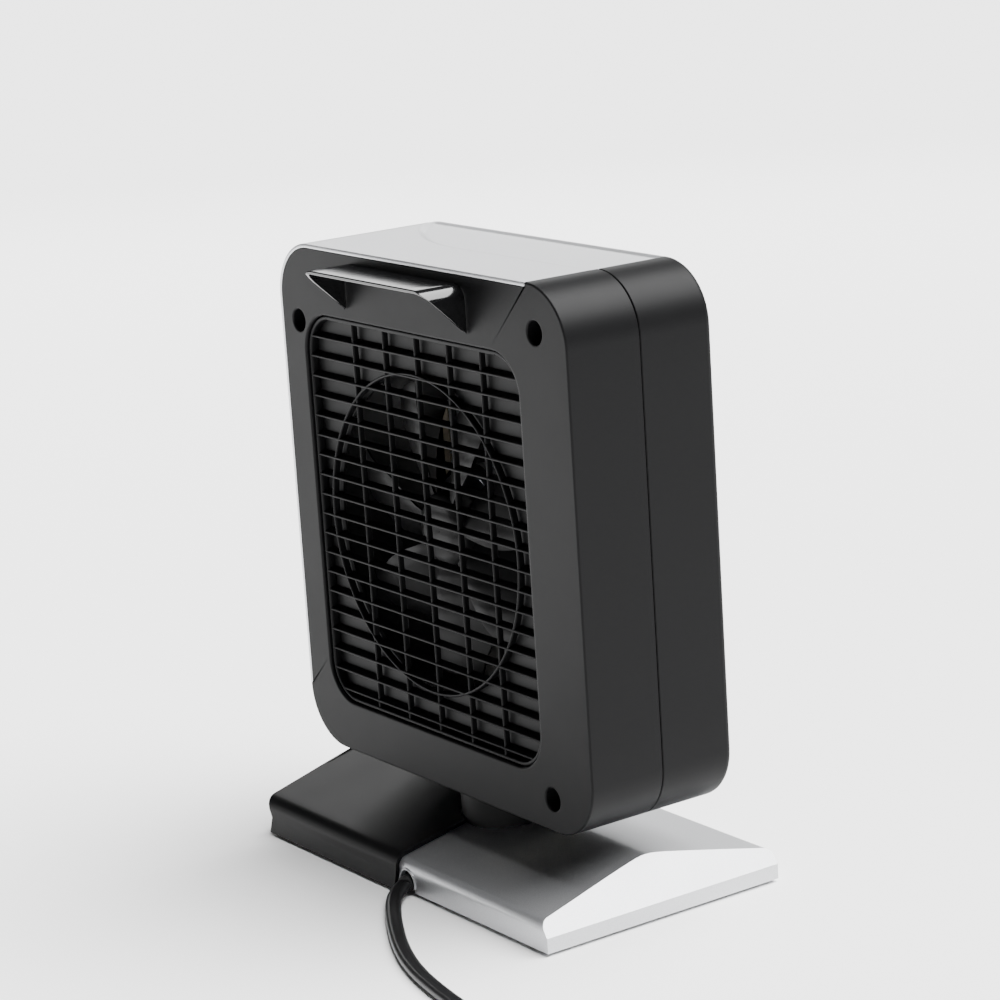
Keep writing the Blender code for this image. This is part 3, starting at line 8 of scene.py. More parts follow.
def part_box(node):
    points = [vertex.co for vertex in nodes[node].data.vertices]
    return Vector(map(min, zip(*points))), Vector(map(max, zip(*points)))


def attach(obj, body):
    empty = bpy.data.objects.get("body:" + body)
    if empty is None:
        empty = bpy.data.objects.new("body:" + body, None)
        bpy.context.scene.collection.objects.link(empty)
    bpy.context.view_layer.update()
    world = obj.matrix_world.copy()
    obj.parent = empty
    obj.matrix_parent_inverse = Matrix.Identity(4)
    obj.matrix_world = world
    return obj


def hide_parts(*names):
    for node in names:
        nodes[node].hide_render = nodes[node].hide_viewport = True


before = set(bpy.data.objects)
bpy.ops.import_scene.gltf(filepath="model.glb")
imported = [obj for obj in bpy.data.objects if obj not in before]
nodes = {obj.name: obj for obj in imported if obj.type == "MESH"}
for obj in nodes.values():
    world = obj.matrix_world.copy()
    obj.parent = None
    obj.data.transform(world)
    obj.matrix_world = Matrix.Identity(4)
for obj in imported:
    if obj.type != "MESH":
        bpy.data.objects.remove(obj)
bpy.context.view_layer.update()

# -------------------- camera
# The heater is seen from behind and its left-hand side, a little from above, with a long lens.
# It looks at a point near the swivel axis, which the swivel post's box gives.


def corners_of(node):
    """The low and the high corner of a CAD node's box."""
    return [np.array(corner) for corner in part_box(node)]


def middle_of(node):
    """The middle of a CAD node's box."""
    low, high = corners_of(node)
    return (low + high) / 2


axis_x = middle_of("swivel_post")[0]
azimuth = math.radians(235.41)
elevation = math.radians(13.68)
roll = math.radians(-3.71)
distance = 1.2155
backward = Vector((math.sin(azimuth) * math.cos(elevation), -math.cos(azimuth) * math.cos(elevation),
                   math.sin(elevation)))
level = Vector((math.cos(azimuth), math.sin(azimuth), 0.0))
across = level * math.cos(roll) + backward.cross(level) * math.sin(roll)
looked_at = Vector((axis_x, -0.0010, 0.1446))
camera = bpy.data.objects.new("camera", bpy.data.cameras.new("camera"))
camera.data.lens = 114.4
camera.data.sensor_width = 36.0
camera.data.clip_end = 100.0
turn = Matrix((across, backward.cross(across), backward)).transposed().to_4x4()
camera.matrix_world = Matrix.Translation(looked_at + backward * distance) @ turn
bpy.context.scene.collection.objects.link(camera)
bpy.context.scene.camera = camera

# -------------------- mains cord
# A flat twin-core PVC lead, 6.3 by 4 mm, 1.5 m long: extruded, so it is smooth and satin with a groove
# between its cores. It leaves the base aslant, curves over the table and is put away in a neat coil.


def weld(name, points, faces, smooth_angle=35.0):
    """A mesh object from points and faces, with doubles merged, normals outwards and sharp edges kept."""
    import bmesh
    mesh = bpy.data.meshes.new(name)
    mesh.from_pydata(np.asarray(points, dtype=float).reshape(-1, 3).tolist(), [], faces)
    work = bmesh.new()
    work.from_mesh(mesh)
    bmesh.ops.remove_doubles(work, verts=work.verts, dist=2e-6)
    bmesh.ops.dissolve_degenerate(work, edges=work.edges, dist=1e-6)
    bmesh.ops.recalc_face_normals(work, faces=work.faces)
    work.to_mesh(mesh)
    work.free()
    mesh.shade_smooth()
    mesh.set_sharp_from_angle(angle=math.radians(smooth_angle))
    made = bpy.data.objects.new(name, mesh)
    bpy.context.scene.collection.objects.link(made)
    return made


def grid_of(x, y, z):
    """Points whose coordinates are numbers or arrays, spread over one another."""
    return np.stack(np.broadcast_arrays(x, y, z), axis=-1)


def grid_faces(rows, columns, wrap_rows=False, wrap_columns=False, first=0):
    """The quads of a grid of points counted row by row; a wrapped direction closes on itself."""
    i = np.arange(rows if wrap_rows else rows - 1)
    j = np.arange(columns if wrap_columns else columns - 1)
    i, j = (a.ravel() for a in np.meshgrid(i, j, indexing="ij"))
    up, right = (i + 1) % rows, (j + 1) % columns
    quads = np.stack([i * columns + j, i * columns + right, up * columns + right, up * columns + j], axis=1)
    return (quads + first).tolist()


# How a grid is joined up: rows wrapped, columns wrapped, first and last rows filled.
SHEET = (False, False, False)
TUBE = (False, True, True)
SLEEVE = (False, True, False)
HOOP = (True, True, False)
WRAPPED_ROWS = (True, False, False)


def join_grids(name, grids, smooth_angle=35.0):
    """One mesh from several grids. Each is points of shape (rows, columns, 3) and the three values above."""
    points, faces, first = [], [], 0
    for grid, wrap_rows, wrap_columns, capped in grids:
        rows, columns = grid.shape[:2]
        faces += grid_faces(rows, columns, wrap_rows, wrap_columns, first)
        if capped:
            faces.append([first + k for k in range(columns)][::-1])
            faces.append([first + (rows - 1) * columns + k for k in range(columns)])
        points.append(grid.reshape(-1, 3))
        first += rows * columns
    return weld(name, np.concatenate(points), faces, smooth_angle)


def smooth_path(knots, pieces):
    """Catmull-Rom curve: between knots b and c, with a before and d after,
    half of 2b + (c-a)t + (2a-5b+4c-d)t^2 + (3b-a-3c+d)t^3."""
    k = np.vstack([knots[:1], knots, knots[-1:]])
    a, b, c, d = (k[s:len(k) - 3 + s, None, :] for s in range(4))
    t = (np.arange(pieces) / pieces)[None, :, None]
    line = 0.5 * (2 * b + (c - a) * t + (2 * a - 5 * b + 4 * c - d) * t**2 + (3 * b - a - 3 * c + d) * t**3)
    return np.vstack([line.reshape(-1, 3), knots[-1:]])


CORD_WIDTH = 0.0063
relief_low, relief_high = corners_of("strain_relief")
RELIEF_TURN = math.radians(25.0)           # it leaves aslant, towards -X
relief_way = np.array([-math.sin(RELIEF_TURN), math.cos(RELIEF_TURN), 0.0])
RELIEF_TIP = CORD_WIDTH / 2 + 0.0002
cord_exit = np.array([relief_low[0] + RELIEF_TIP * math.cos(RELIEF_TURN),
                      relief_high[1] - RELIEF_TIP * math.sin(RELIEF_TURN), 0.0]) + relief_way * 0.0003
CORD_THICKNESS = 0.0040
CORD_ROUTE = [                # from the exit: across, back, and height of the centre line
    (0.0000, 0.0000, 0.0047),
    (-0.0018, 0.0038, 0.0044),
    (-0.0052, 0.0080, 0.0039),
    (-0.0110, 0.0125, 0.0035),
    (-0.0195, 0.0180, 0.0033),
    (-0.0296, 0.0238, 0.0033),
    (-0.0435, 0.0312, 0.0033),
    (-0.0586, 0.0378, 0.0033),
    (-0.0744, 0.0428, 0.0033),
    (-0.0916, 0.0464, 0.0033),
    (-0.1100, 0.0492, 0.0033),
    (-0.1340, 0.0525, 0.0033),
    (-0.1590, 0.0552, 0.0033),
    (-0.1840, 0.0568, 0.0033),
    (-0.2099, 0.0573, 0.0033),
]
SETTLE = 0.0012               # the flat lead lies this much lower than a round one of its width


def coil_turns(centre, mean, width, low, high):
    """Anticlockwise turns from the coil's +Y side: radius mean + width, mean, mean - width on the table,
    then the same lanes outwards in the upper layer, for 5.25 turns in all. Each lane is round for most of
    a turn and slides to the next over its last seventh, as a hand-wound coil does."""
    turns = np.linspace(0.0, 5.25, 5 * 40 + 11)
    lanes = np.array([1.0, 0.0, -1.0, -1.0, 0.0, 1.0, 1.0])
    layer = np.array([0.0, 0.0, 0.0, 1.0, 1.0, 1.0, 1.0])
    lane = np.minimum(turns.astype(int), 5)
    slide = np.clip((turns - lane - 0.86) / 0.14, 0, 1)
    slide = slide**2 * (3 - 2 * slide)
    radius = mean + width * (lanes[lane] * (1 - slide) + lanes[lane + 1] * slide)
    height = low + (high - low) * (layer[lane] * (1 - slide) + layer[lane + 1] * slide)
    angle = math.pi / 2 + 2 * math.pi * turns
    return grid_of(centre[0] + radius * np.cos(angle), centre[1] + radius * np.sin(angle), height)


coil_low, coil_high = corners_of("cord_coil")
coil_middle = middle_of("cord_coil")
coil_mean = (coil_high[0] - coil_low[0]) / 2 - 1.5 * CORD_WIDTH - 0.0003
plug_low, plug_high = corners_of("mains_plug")
plug_middle = middle_of("mains_plug")
free = np.array(CORD_ROUTE) + cord_exit - [0, 0, SETTLE]
free[0, 2] += SETTLE
free[1, 2] += SETTLE * 0.6
lanes_up = (CORD_THICKNESS / 2 + 0.0001, CORD_THICKNESS * 1.5 + 0.0003)
wound = coil_turns(coil_middle, coil_mean, CORD_WIDTH + 0.0001, *lanes_up)
tail = np.array([[plug_middle[0], coil_middle[1] - 0.014, lanes_up[1] + 0.0008],
                 [plug_middle[0], plug_high[1] + 0.0003, plug_middle[2]]])
cord_line = np.vstack([smooth_path(np.vstack([free, wound[:2]]), 8)[:-8], wound[1:-1],
                       smooth_path(np.vstack([wound[-1:], tail]), 5)])


def carry_profile(line, section):
    """Points of a section, sideways and up, carried along a nearly level line: each is
    the line's point + sideways * (level normal of the line) + up * (the normal above it)."""
    ahead = np.gradient(line, axis=0)
    ahead /= np.linalg.norm(ahead, axis=1)[:, None]
    side = np.cross(ahead, [0.0, 0.0, 1.0])
    side /= np.linalg.norm(side, axis=1)[:, None]
    above = np.cross(side, ahead)
    return line[:, None] + side[:, None] * section[None, :, :1] + above[:, None] * section[None, :, 1:]


def flat_twin(width, thickness, steps=20):
    """A flat oval, half width * cos t by half thickness * (sin t)^0.7, with a groove along its middle."""
    t = np.linspace(0, 2 * np.pi, steps, endpoint=False)
    x = width / 2 * np.cos(t)
    z = thickness / 2 * np.sign(np.sin(t)) * np.abs(np.sin(t)) ** 0.7
    return np.stack([x, z * (1 - 0.20 * np.exp(-(x / 0.0006) ** 2))], axis=1)


def srgb(code):
    """Linear RGBA from a hex sRGB colour: c / 12.92 below 0.04045, else ((c + 0.055) / 1.055) ^ 2.4."""
    c = np.array([int(code[k:k + 2], 16) / 255 for k in (0, 2, 4)])
    return (*np.where(c <= 0.04045, c / 12.92, ((c + 0.055) / 1.055) ** 2.4), 1.0)


def put(tree, kind, values=(), links=(), **settings):
    """Adds a node: settings are its options, values fill its sockets and links join them to outputs."""
    node = tree.nodes.new(kind)
    for name, value in settings.items():
        setattr(node, name, value)
    for socket, value in dict(values).items():
        node.inputs[socket].default_value = value
    for socket, output in dict(links).items():
        tree.links.new(output, node.inputs[socket])
    return node


def finish_of(name, colour, roughness, metallic=0.0, specular=0.5, ior=1.5, coat=0.0, bumps=None, spread=0.0):
    """A finish. bumps gives the width and the depth in mm of a fine noise, and spread is how far a broad
    noise takes the roughness up and down."""
    made = bpy.data.materials.new(name)
    made.use_nodes = True
    tree = made.node_tree
    shader = tree.nodes["Principled BSDF"]
    for socket, value in {"Base Color": srgb(colour), "Roughness": roughness, "Metallic": metallic,
                          "Specular IOR Level": specular, "IOR": ior, "Coat Weight": coat}.items():
        shader.inputs[socket].default_value = value
    if bumps:
        size_mm, depth_mm = bumps
        place = {"Vector": put(tree, "ShaderNodeTexCoord").outputs["Object"]}
        fine = put(tree, "ShaderNodeTexNoise", {"Scale": 1000 / size_mm, "Detail": 2.0, "Roughness": 0.55},
                   place)
        bump = put(tree, "ShaderNodeBump", {"Strength": 0.35, "Distance": depth_mm / 1000},
                   {"Height": fine.outputs["Fac"]})
        tree.links.new(bump.outputs["Normal"], shader.inputs["Normal"])
    if spread:
        broad = put(tree, "ShaderNodeTexNoise", {"Scale": 45.0, "Detail": 3.0}, place)
        ends = {"To Min": roughness - spread, "To Max": roughness + spread}
        level_of = put(tree, "ShaderNodeMapRange", ends, {"Value": broad.outputs["Fac"]})
        tree.links.new(level_of.outputs["Result"], shader.inputs["Roughness"])
    return made


def in_finish(finish, *names):
    """Gives CAD nodes that stay as they are a finish."""
    for name in names:
        nodes[name].data.materials.clear()
        nodes[name].data.materials.append(finish)


def dress(piece, finish, body, slot_name, *replaced):
    """Gives a piece its finish, its body and the CAD nodes that it stands for, which it hides; slot_name is
    not used.
    """
    piece.data.materials.clear()
    piece.data.materials.append(finish)
    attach(piece, body)
    if replaced:
        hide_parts(*replaced)
    return piece


# PVC cord jacket: extruded, satin, a very fine drag along it that only shows as a soft highlight.
pvc_jacket = finish_of("extruded_black_pvc", "161617", 0.34, specular=0.45, bumps=(0.8, 0.01), spread=0.04)

lead = carry_profile(cord_line, flat_twin(CORD_WIDTH, CORD_THICKNESS))
cord = join_grids("mains_cord_lead", [(lead, *TUBE)], 60.0)
dress(cord, pvc_jacket, "base", "cord", "mains_cord", "cord_coil")

# -------------------- mains plug
# A moulded two-pin plug for round 4.8 mm pins: one rubbery body with a grip waist, a ribbed tail that
# stops the lead from kinking, and nickelled brass pins.


def superellipse(half_x, half_z, power, steps=28):
    """|x/half_x|^power + |z/half_z|^power = 1, as points round it."""
    t = np.linspace(0, 2 * np.pi, steps, endpoint=False)
    c, s = np.cos(t), np.sin(t)
    return np.stack([half_x * np.sign(c) * np.abs(c) ** (2 / power),
                     half_z * np.sign(s) * np.abs(s) ** (2 / power)], axis=1)


def along_y(centre_x, centre_z, stations):
    """Rings of superellipses stacked along Y; a station is (y, half width, half height, power)."""
    rings = []
    for y, half_x, half_z, power in stations:
        ring = superellipse(half_x, half_z, power)
        rings.append(grid_of(centre_x + ring[:, 0], y, centre_z + ring[:, 1]))
    return np.array(rings)


plug_start, plug_face = plug_high[1], plug_low[1]
plug_half = (plug_high[0] - plug_low[0]) / 2
plug_tall = (plug_high[2] - plug_low[2]) / 2
stations = [(plug_start, 0.0036, 0.0028, 2.2)]
for rib in range(5):
    y = plug_start - 0.0006 - rib * 0.0026
    wide, high = 0.0046 + 0.00035 * rib, 0.0038 + 0.0005 * rib
    stations += [(y, wide, high, 2.4), (y - 0.0014, wide, high, 2.4)]
    stations += [(y - back, wide - 0.0008, high - 0.0008, 2.4) for back in (0.0017, 0.0024)]
body_start = plug_start - 0.0145
body_run = plug_face - body_start
for share, wide, high in ((0.0, 0.36, 0.60), (0.06, 0.52, 0.80), (0.16, 0.78, 0.93), (0.28, 0.93, 0.99),
                          (0.42, 0.97, 1.0), (0.56, 0.93, 0.96), (0.70, 0.93, 0.96), (0.82, 0.985, 1.0),
                          (0.94, 1.0, 1.0), (0.985, 0.985, 0.975), (1.0, 0.95, 0.92)):
    stations.append((body_start + share * body_run, plug_half * wide, plug_tall * high, 3.2))
plug = join_grids("plug_body", [(along_y(plug_middle[0], plug_middle[2], stations), *TUBE)], 50.0)

# Moulded plug rubber: a little duller than the lead, with a fine moulded grain.
plug_rubber = finish_of("moulded_plug_rubber", "19191a", 0.48, specular=0.4, bumps=(0.5, 0.02), spread=0.05)
dress(plug, plug_rubber, "base", "black_satin", "mains_plug")

# Nickel plate on brass: a warm, fairly bright metal with faint drawing marks round each pin.
nickel = finish_of("nickelled_brass", "c9c2b4", 0.22, 1.0, bumps=(0.6, 0.004), spread=0.05)
in_finish(nickel, "plug_pin_left", "plug_pin_right", "terminal_live", "terminal_neutral")

# -------------------- strain relief
# A rubber sleeve moulded on the lead, aslant in the base's cord arch, that narrows to the lead's width.


def lathe_y(centre_x, centre_z, profile, steps=40):
    """A profile of (radius, y) turned about a line along Y: x = cx + r cos t, z = cz + r sin t."""
    t = np.linspace(0, 2 * np.pi, steps, endpoint=False)
    r, y = np.array(profile).T
    return grid_of(centre_x + r[:, None] * np.cos(t), y[:, None], centre_z + r[:, None] * np.sin(t))


relief_z = (relief_low[2] + relief_high[2]) / 2
root = (relief_high[2] - relief_low[2]) / 2
tip = cord_exit - relief_way * 0.0003
RELIEF_LENGTH = 0.0240
profile = [(0.0001, -RELIEF_LENGTH), (root - 0.0004, -RELIEF_LENGTH), (root, -RELIEF_LENGTH + 0.0004),
           (root, -0.0102), (0.0034, -0.0082), (0.0034, -0.0024), (0.0033, -0.0020), (RELIEF_TIP, -0.0003),
           (RELIEF_TIP - 0.0003, 0.0), (0.0001, 0.0)]
x, y, z = np.moveaxis(lathe_y(0.0, 0.0, profile), 2, 0)
turned = grid_of(tip[0] + x * math.cos(RELIEF_TURN) - y * math.sin(RELIEF_TURN),
                 tip[1] + x * math.sin(RELIEF_TURN) + y * math.cos(RELIEF_TURN), relief_z + z)
relief = join_grids("cord_strain_relief", [(turned, *TUBE)], 40.0)
dress(relief, plug_rubber, "base", "rubber", "strain_relief")

# -------------------- table and light
# A white table, and soft light: two boxes behind and to the left, a broad source overhead, and a dim room.
table_mesh = bpy.data.meshes.new("table_top")
TABLE_HALF = 14.0
table_mesh.from_pydata([(x * TABLE_HALF, y * TABLE_HALF, 0) for x, y in ((-1, -1), (1, -1), (1, 1), (-1, 1))],
                       [], [(0, 1, 2, 3)])
table = bpy.data.objects.new("table_top", table_mesh)
bpy.context.scene.collection.objects.link(table)
white_board = finish_of("matt_white_board", "ffffff", 0.80, specular=0.1)
table.data.materials.append(white_board)


def soft_box(name, place, target, width, height, power):
    """A rectangular area light at a place, turned to a target."""
    light = bpy.data.lights.new(name, "AREA")
    light.shape = "RECTANGLE"
    light.size = width
    light.size_y = height
    light.energy = power
    made = bpy.data.objects.new(name, light)
    made.location = place
    made.rotation_euler = (Vector(target) - Vector(place)).to_track_quat("-Z", "Y").to_euler()
    bpy.context.scene.collection.objects.link(made)


middle = (axis_x, 0.0, 0.12)
soft_box("left_box", (0.95, 0.55, 0.16), middle, 0.45, 0.40, 0.9)
soft_box("back_box", (1.45, -1.0, 0.78), middle, 1.3, 0.6, 8.0)
sky = bpy.data.lights.new("broad_sky", "SUN")
sky.energy = 13.0
sky.angle = math.radians(60)
sky_lamp = bpy.data.objects.new("broad_sky", sky)
sky_lamp.rotation_euler = Vector((0.30, 0.42, -0.95)).to_track_quat("-Z", "Y").to_euler()
bpy.context.scene.collection.objects.link(sky_lamp)
world = bpy.data.worlds.new("pale_room")
world.use_nodes = True
world.node_tree.nodes["Background"].inputs["Color"].default_value = srgb("f4f6f8")
world.node_tree.nodes["Background"].inputs["Strength"].default_value = 0.08
bpy.context.scene.world = world

# -------------------- rear shell
# The back half of the head: injection-moulded ABS, 2.8 mm thick, with crisp outer edges, the inlet
# opening, three counterbored screw wells and a shallow bed for the silver band.
rear_low, rear_high = corners_of("rear_shell")
front_low, front_high = corners_of("front_shell")
head_width = front_high[0] - front_low[0]
head_height = front_high[2] - front_low[2]
head_middle = np.array([axis_x, (front_low[2] + front_high[2]) / 2])
FACE_Y = rear_high[1]
SEAM = 0.00015
GAP = 0.0003
CORNER = 0.0225
WALL = 0.0028
BAND_BED = 0.0018
band_low, band_high = corners_of("silver_band")


def round_frame(width, height, corner, arc_steps=16, side_steps=12):
    """A rounded rectangle, anticlockwise from its lower right: points, outward normals and the number of
    the side (0 right, 2 top, 4 left, 6 bottom) or corner (1, 3, 5, 7) that each point is on.
    A corner's point is its centre + corner * (cos a, sin a)."""
    points, normals, part = [], [], []
    hub = np.array([width / 2 - corner, height / 2 - corner])
    for quarter in range(4):
        start = quarter * math.pi / 2
        signs = np.array([(1, 1), (-1, 1), (-1, -1), (1, -1)][quarter])
        before = np.array([(1, -1), (1, 1), (-1, 1), (-1, -1)][quarter])
        out = np.array([round(math.cos(start)), round(math.sin(start))])
        share = np.linspace(0, 1, side_steps)[:, None]
        points.append((1 - share) * (hub * before) + share * (hub * signs) + out * corner)
        normals.append(np.repeat(out[None].astype(float), side_steps, axis=0))
        part.append(np.full(side_steps, 2 * quarter))
        a = start + np.linspace(0, math.pi / 2, arc_steps)
        round_out = np.stack([np.cos(a), np.sin(a)], axis=1)
        points.append(hub * signs + corner * round_out)
        normals.append(round_out)
        part.append(np.full(arc_steps, 2 * quarter + 1))
    return np.concatenate(points), np.concatenate(normals), np.concatenate(part)


head_points, head_normals, head_part = round_frame(head_width, head_height, CORNER)
under_band = np.isin(head_part, (0, 1, 2))


def head_ring(inset, y):
    """The head's outline at depth y, drawn in by inset, and by at least the bed's depth under the band."""
    depth = np.where(under_band, np.maximum(inset, BAND_BED), inset)
    flat = head_middle + head_points - head_normals * depth[:, None]
    return grid_of(flat[:, 0], y, flat[:, 1])


grille_low, grille_high = corners_of("inlet_grille")
GRILLE_FLANGE = 0.0020
opening_width = grille_high[0] - grille_low[0] - 2 * GRILLE_FLANGE
opening_height = grille_high[2] - grille_low[2] - 2 * GRILLE_FLANGE
opening_middle = np.array([(grille_low[0] + grille_high[0]) / 2, (grille_low[2] + grille_high[2]) / 2])
OPENING_CORNER = 0.016
opening_points, opening_normals, _ = round_frame(opening_width, opening_height, OPENING_CORNER)


def opening_ring(grow, y):
    """The inlet opening's outline let out by grow, at depth y."""
    flat = opening_middle + opening_points + opening_normals * grow
    return grid_of(flat[:, 0], y, flat[:, 1])


def quarter(steps=5):
    """Shares of a quarter round: 1 - cos and sin of 0 to 90 degrees."""
    a = np.linspace(0, math.pi / 2, steps)
    return np.stack([1 - np.cos(a), np.sin(a)], axis=1)


def half_casing(name, seam_y, face_y, edge, opening_edge):
    """One half of the head: rings from the seam round the outer edge, across the face to the opening,
    through the wall and back along the inside. edge and opening_edge are the radii of the two roundings."""
    sign = 1.0 if face_y > seam_y else -1.0
    rings = [head_ring(WALL, seam_y), head_ring(0.0003, seam_y), head_ring(0.0, seam_y + sign * 0.0003)]
    for lost, gained in quarter():
        rings.append(head_ring(edge * lost, face_y - sign * edge * (1 - gained)))
    for share in (0.012, 0.5, 0.988):
        rings.append((1 - share) * head_ring(edge, face_y) + share * opening_ring(opening_edge, face_y))
    for lost, gained in quarter()[::-1]:
        rings.append(opening_ring(opening_edge * lost, face_y - sign * opening_edge * (1 - gained)))
    rings.append(opening_ring(0.0, face_y - sign * WALL))
    rings.append(head_ring(WALL, face_y - sign * WALL))
    return join_grids(name, [(np.array(rings), *HOOP)], 28.0)


def carve(target, *cutters, smooth_angle=28.0):
    """Cuts shapes out of a piece and removes them."""
    for shape in cutters:
        step = target.modifiers.new("cut", "BOOLEAN")
        step.operation = "DIFFERENCE"
        step.solver = "EXACT"
        step.object = shape
    graph = bpy.context.evaluated_depsgraph_get()
    mesh = bpy.data.meshes.new_from_object(target.evaluated_get(graph))
    target.modifiers.clear()
    target.data = mesh
    for shape in cutters:
        bpy.data.objects.remove(shape)
    mesh.shade_smooth()
    mesh.set_sharp_from_angle(angle=math.radians(smooth_angle))


def lathe_z(centre_x, centre_y, profile, steps=64):
    """A profile of (radius, z) turned about a vertical line."""
    t = np.linspace(0, 2 * np.pi, steps, endpoint=False)
    r, z = np.array(profile).T
    return grid_of(centre_x + r[:, None] * np.cos(t), centre_y + r[:, None] * np.sin(t), z[:, None])


WELL_RADIUS = 0.0044
WELL_MOUTH = 0.0007
well_names = ("rear_screw_top_left", "rear_screw_top_right", "rear_screw_bottom_right")
FIRST_WELL = 74               # the wells are named from this number on
SCREW_HEAD = 0.0022
wells = [(middle_of(name), corners_of(name)[1][1]) for name in well_names]


def well_cutter(centre):
    """A plug for a screw well: straight, then flared by a quarter round at the face."""
    profile = [(WELL_RADIUS, FACE_Y - WALL - 0.002)]
    profile += [(WELL_RADIUS + WELL_MOUTH * lost, FACE_Y - WELL_MOUTH * (1 - gained))
                for lost, gained in quarter()]
    profile.append((WELL_RADIUS + WELL_MOUTH, FACE_Y + 0.001))
    return join_grids("cutter", [(lathe_y(centre[0], centre[2], profile), *TUBE)])


def axis_cutter(radius, low, high):
    """A plug round the swivel axis, between two heights."""
    return join_grids("cutter", [(lathe_z(axis_x, 0.0, [(radius, low), (radius, high)]), *TUBE)])


NECK_RADIUS = 0.0220
POST_RADIUS = 0.0120
CASING_SHARP = 9.0            # degrees between faces that count as an edge on the two casings
floor_hole = (POST_RADIUS + 0.0005, front_low[2] - 0.004, front_low[2] + 0.008)
rear = half_casing("rear_casing", SEAM, FACE_Y, 0.0007, 0.0009)
carve(rear, *[well_cutter(centre) for centre, _ in wells], axis_cutter(*floor_hole),
      smooth_angle=CASING_SHARP)

# Spark-eroded ABS: a fine even grain about 0.3 mm across that spreads highlights into a soft sheen.
matt_abs = finish_of("spark_eroded_black_abs", "0b0b0c", 0.44, specular=0.1, bumps=(0.35, 0.03), spread=0.035)
dress(rear, matt_abs, "head", "black_satin", "rear_shell")

# The wells behind the three holes: moulded tubes whose floors the screw heads clamp.
for number, (centre, head_top) in enumerate(wells, start=FIRST_WELL):
    floor_y = head_top - SCREW_HEAD - GAP
    profile = [(0.0020, floor_y - 0.0015), (0.0055, floor_y - 0.0015), (0.0055, FACE_Y - WALL),
               (WELL_RADIUS, FACE_Y - WALL), (WELL_RADIUS, floor_y), (0.0020, floor_y)]
    tube = lathe_y(centre[0], centre[2], profile, 32)
    well = join_grids(f"screw_well_{number}", [(tube, *HOOP)])
    dress(well, matt_abs, "head", "black_satin")

# -------------------- front shell
# The other half, with the outlet opening, holes for the controls and a swivel hole in its floor.
front = half_casing("front_casing", -SEAM, front_low[1], 0.0022, 0.0010)


def front_hole(node, spare):
    """A plug for a control's hole: as wide as the control's stem and the spare room round it."""
    x, _, z = middle_of(node)
    y = front_low[1]
    return join_grids("cutter", [(lathe_y(x, z, [(spare, y - 0.01), (spare, y + 0.01)]), *TUBE)])


carve(front, front_hole("thermostat_knob", 0.0035), front_hole("function_knob", 0.0035),
      front_hole("oscillation_button", 0.0065), front_hole("pilot_lens", 0.0028), axis_cutter(*floor_hole),
      smooth_angle=CASING_SHARP)
dress(front, matt_abs, "head", "black_satin", "front_shell")

# -------------------- silver band
# A thin lacquered trim let into the top and round one corner: its front half is a shallow tray whose back
# edge bends forward before the corner. Silver lacquer on ABS, with a bright bevelled edge.
BAND_THICK = 0.0015
TRAY_DEPTH = 0.0009
TRAY_EDGE = 0.0016
side_run = head_height - 2 * CORNER
arc_run = CORNER * math.pi / 2
top_run = head_width - 2 * CORNER


def band_place(s):
    """Point and outward normal on the head's outline at a length s from the band's lower end: up the side,
    round the corner with angle (s - side) / corner, then along the top."""
    on_side, on_arc = s < side_run, (s >= side_run) & (s < side_run + arc_run)
    a = np.clip((s - side_run) / CORNER, 0, math.pi / 2)
    hub = np.array([head_width / 2 - CORNER, head_height / 2 - CORNER])
    out = np.stack([np.cos(a), np.sin(a)], axis=1)
    point = hub + CORNER * out
    point[:, 1] += np.where(on_side, s - side_run, 0.0)
    point[:, 0] -= np.where(~on_side & ~on_arc, s - side_run - arc_run, 0.0)
    return head_middle + point, out


def tray_edge_y(x):
    """Where the tray ends: along the seam, then forward in a smooth bend towards the corner."""
    t = np.clip((x - 0.010) / 0.075, 0, 1)
    return 0.0032 - 0.040 * t**2.2


s = np.unique(np.concatenate([np.linspace(0.0003, side_run, 30), side_run + arc_run * np.linspace(0, 1, 25),
                              side_run + arc_run + np.linspace(0, top_run - 0.0003, 90)]))
place, out = band_place(s)
y_front, y_back = band_low[1], band_high[1]
across_band = np.concatenate([[y_front, y_front + 0.0003], np.linspace(y_front + 0.0012, y_back - 0.0006, 88),
                              [y_back - 0.0002, y_back]])
rounding = np.zeros(len(across_band))
rounding[[0, -1]] = 0.0003
rounding[[1, -2]] = 0.00006
depth = np.clip((tray_edge_y(place[:, 0] - axis_x)[:, None] - across_band[None, :]) / TRAY_EDGE, 0, 1)
depth = TRAY_DEPTH * depth**2 * (3 - 2 * depth)
depth *= np.clip((across_band[None, :] - y_front - 0.0008) / 0.0014, 0, 1)
top_side = place[:, None, :] - out[:, None, :] * (depth + rounding)[:, :, None]
under_side = place[:, None, :] - out[:, None, :] * BAND_THICK
skins = [grid_of(flat[..., 0], across_band, flat[..., 1]) for flat in (top_side, under_side)]
ring = np.concatenate([skins[0], skins[1][:, ::-1]], axis=1)
band = join_grids("silver_top_band", [(ring, *TUBE)], 40.0)

# Silver lacquer: aluminium flake in clear acrylic over ABS. Flakes about 0.1 mm give a fine sparkle, drawn
# 0.3 mm so that it shows, and the clear coat adds a soft second highlight.
lacquer = finish_of("silver_flake_lacquer", "c4c5c8", 0.34, 0.80, coat=0.12, bumps=(0.3, 0.012), spread=0.03)
lacquer_tree = lacquer.node_tree
flakes = put(lacquer_tree, "ShaderNodeTexCoord")
speck = put(lacquer_tree, "ShaderNodeTexNoise", {"Scale": 2600.0, "Detail": 1.0},
            {"Vector": flakes.outputs["Object"]})
tint = put(lacquer_tree, "ShaderNodeMix", {"A": srgb("b4b5b8"), "B": srgb("d2d3d5")},
           {"Factor": speck.outputs["Fac"]}, data_type="RGBA")
lacquer_tree.links.new(next(o for o in tint.outputs if o.type == "RGBA"),
                       lacquer_tree.nodes["Principled BSDF"].inputs["Base Color"])
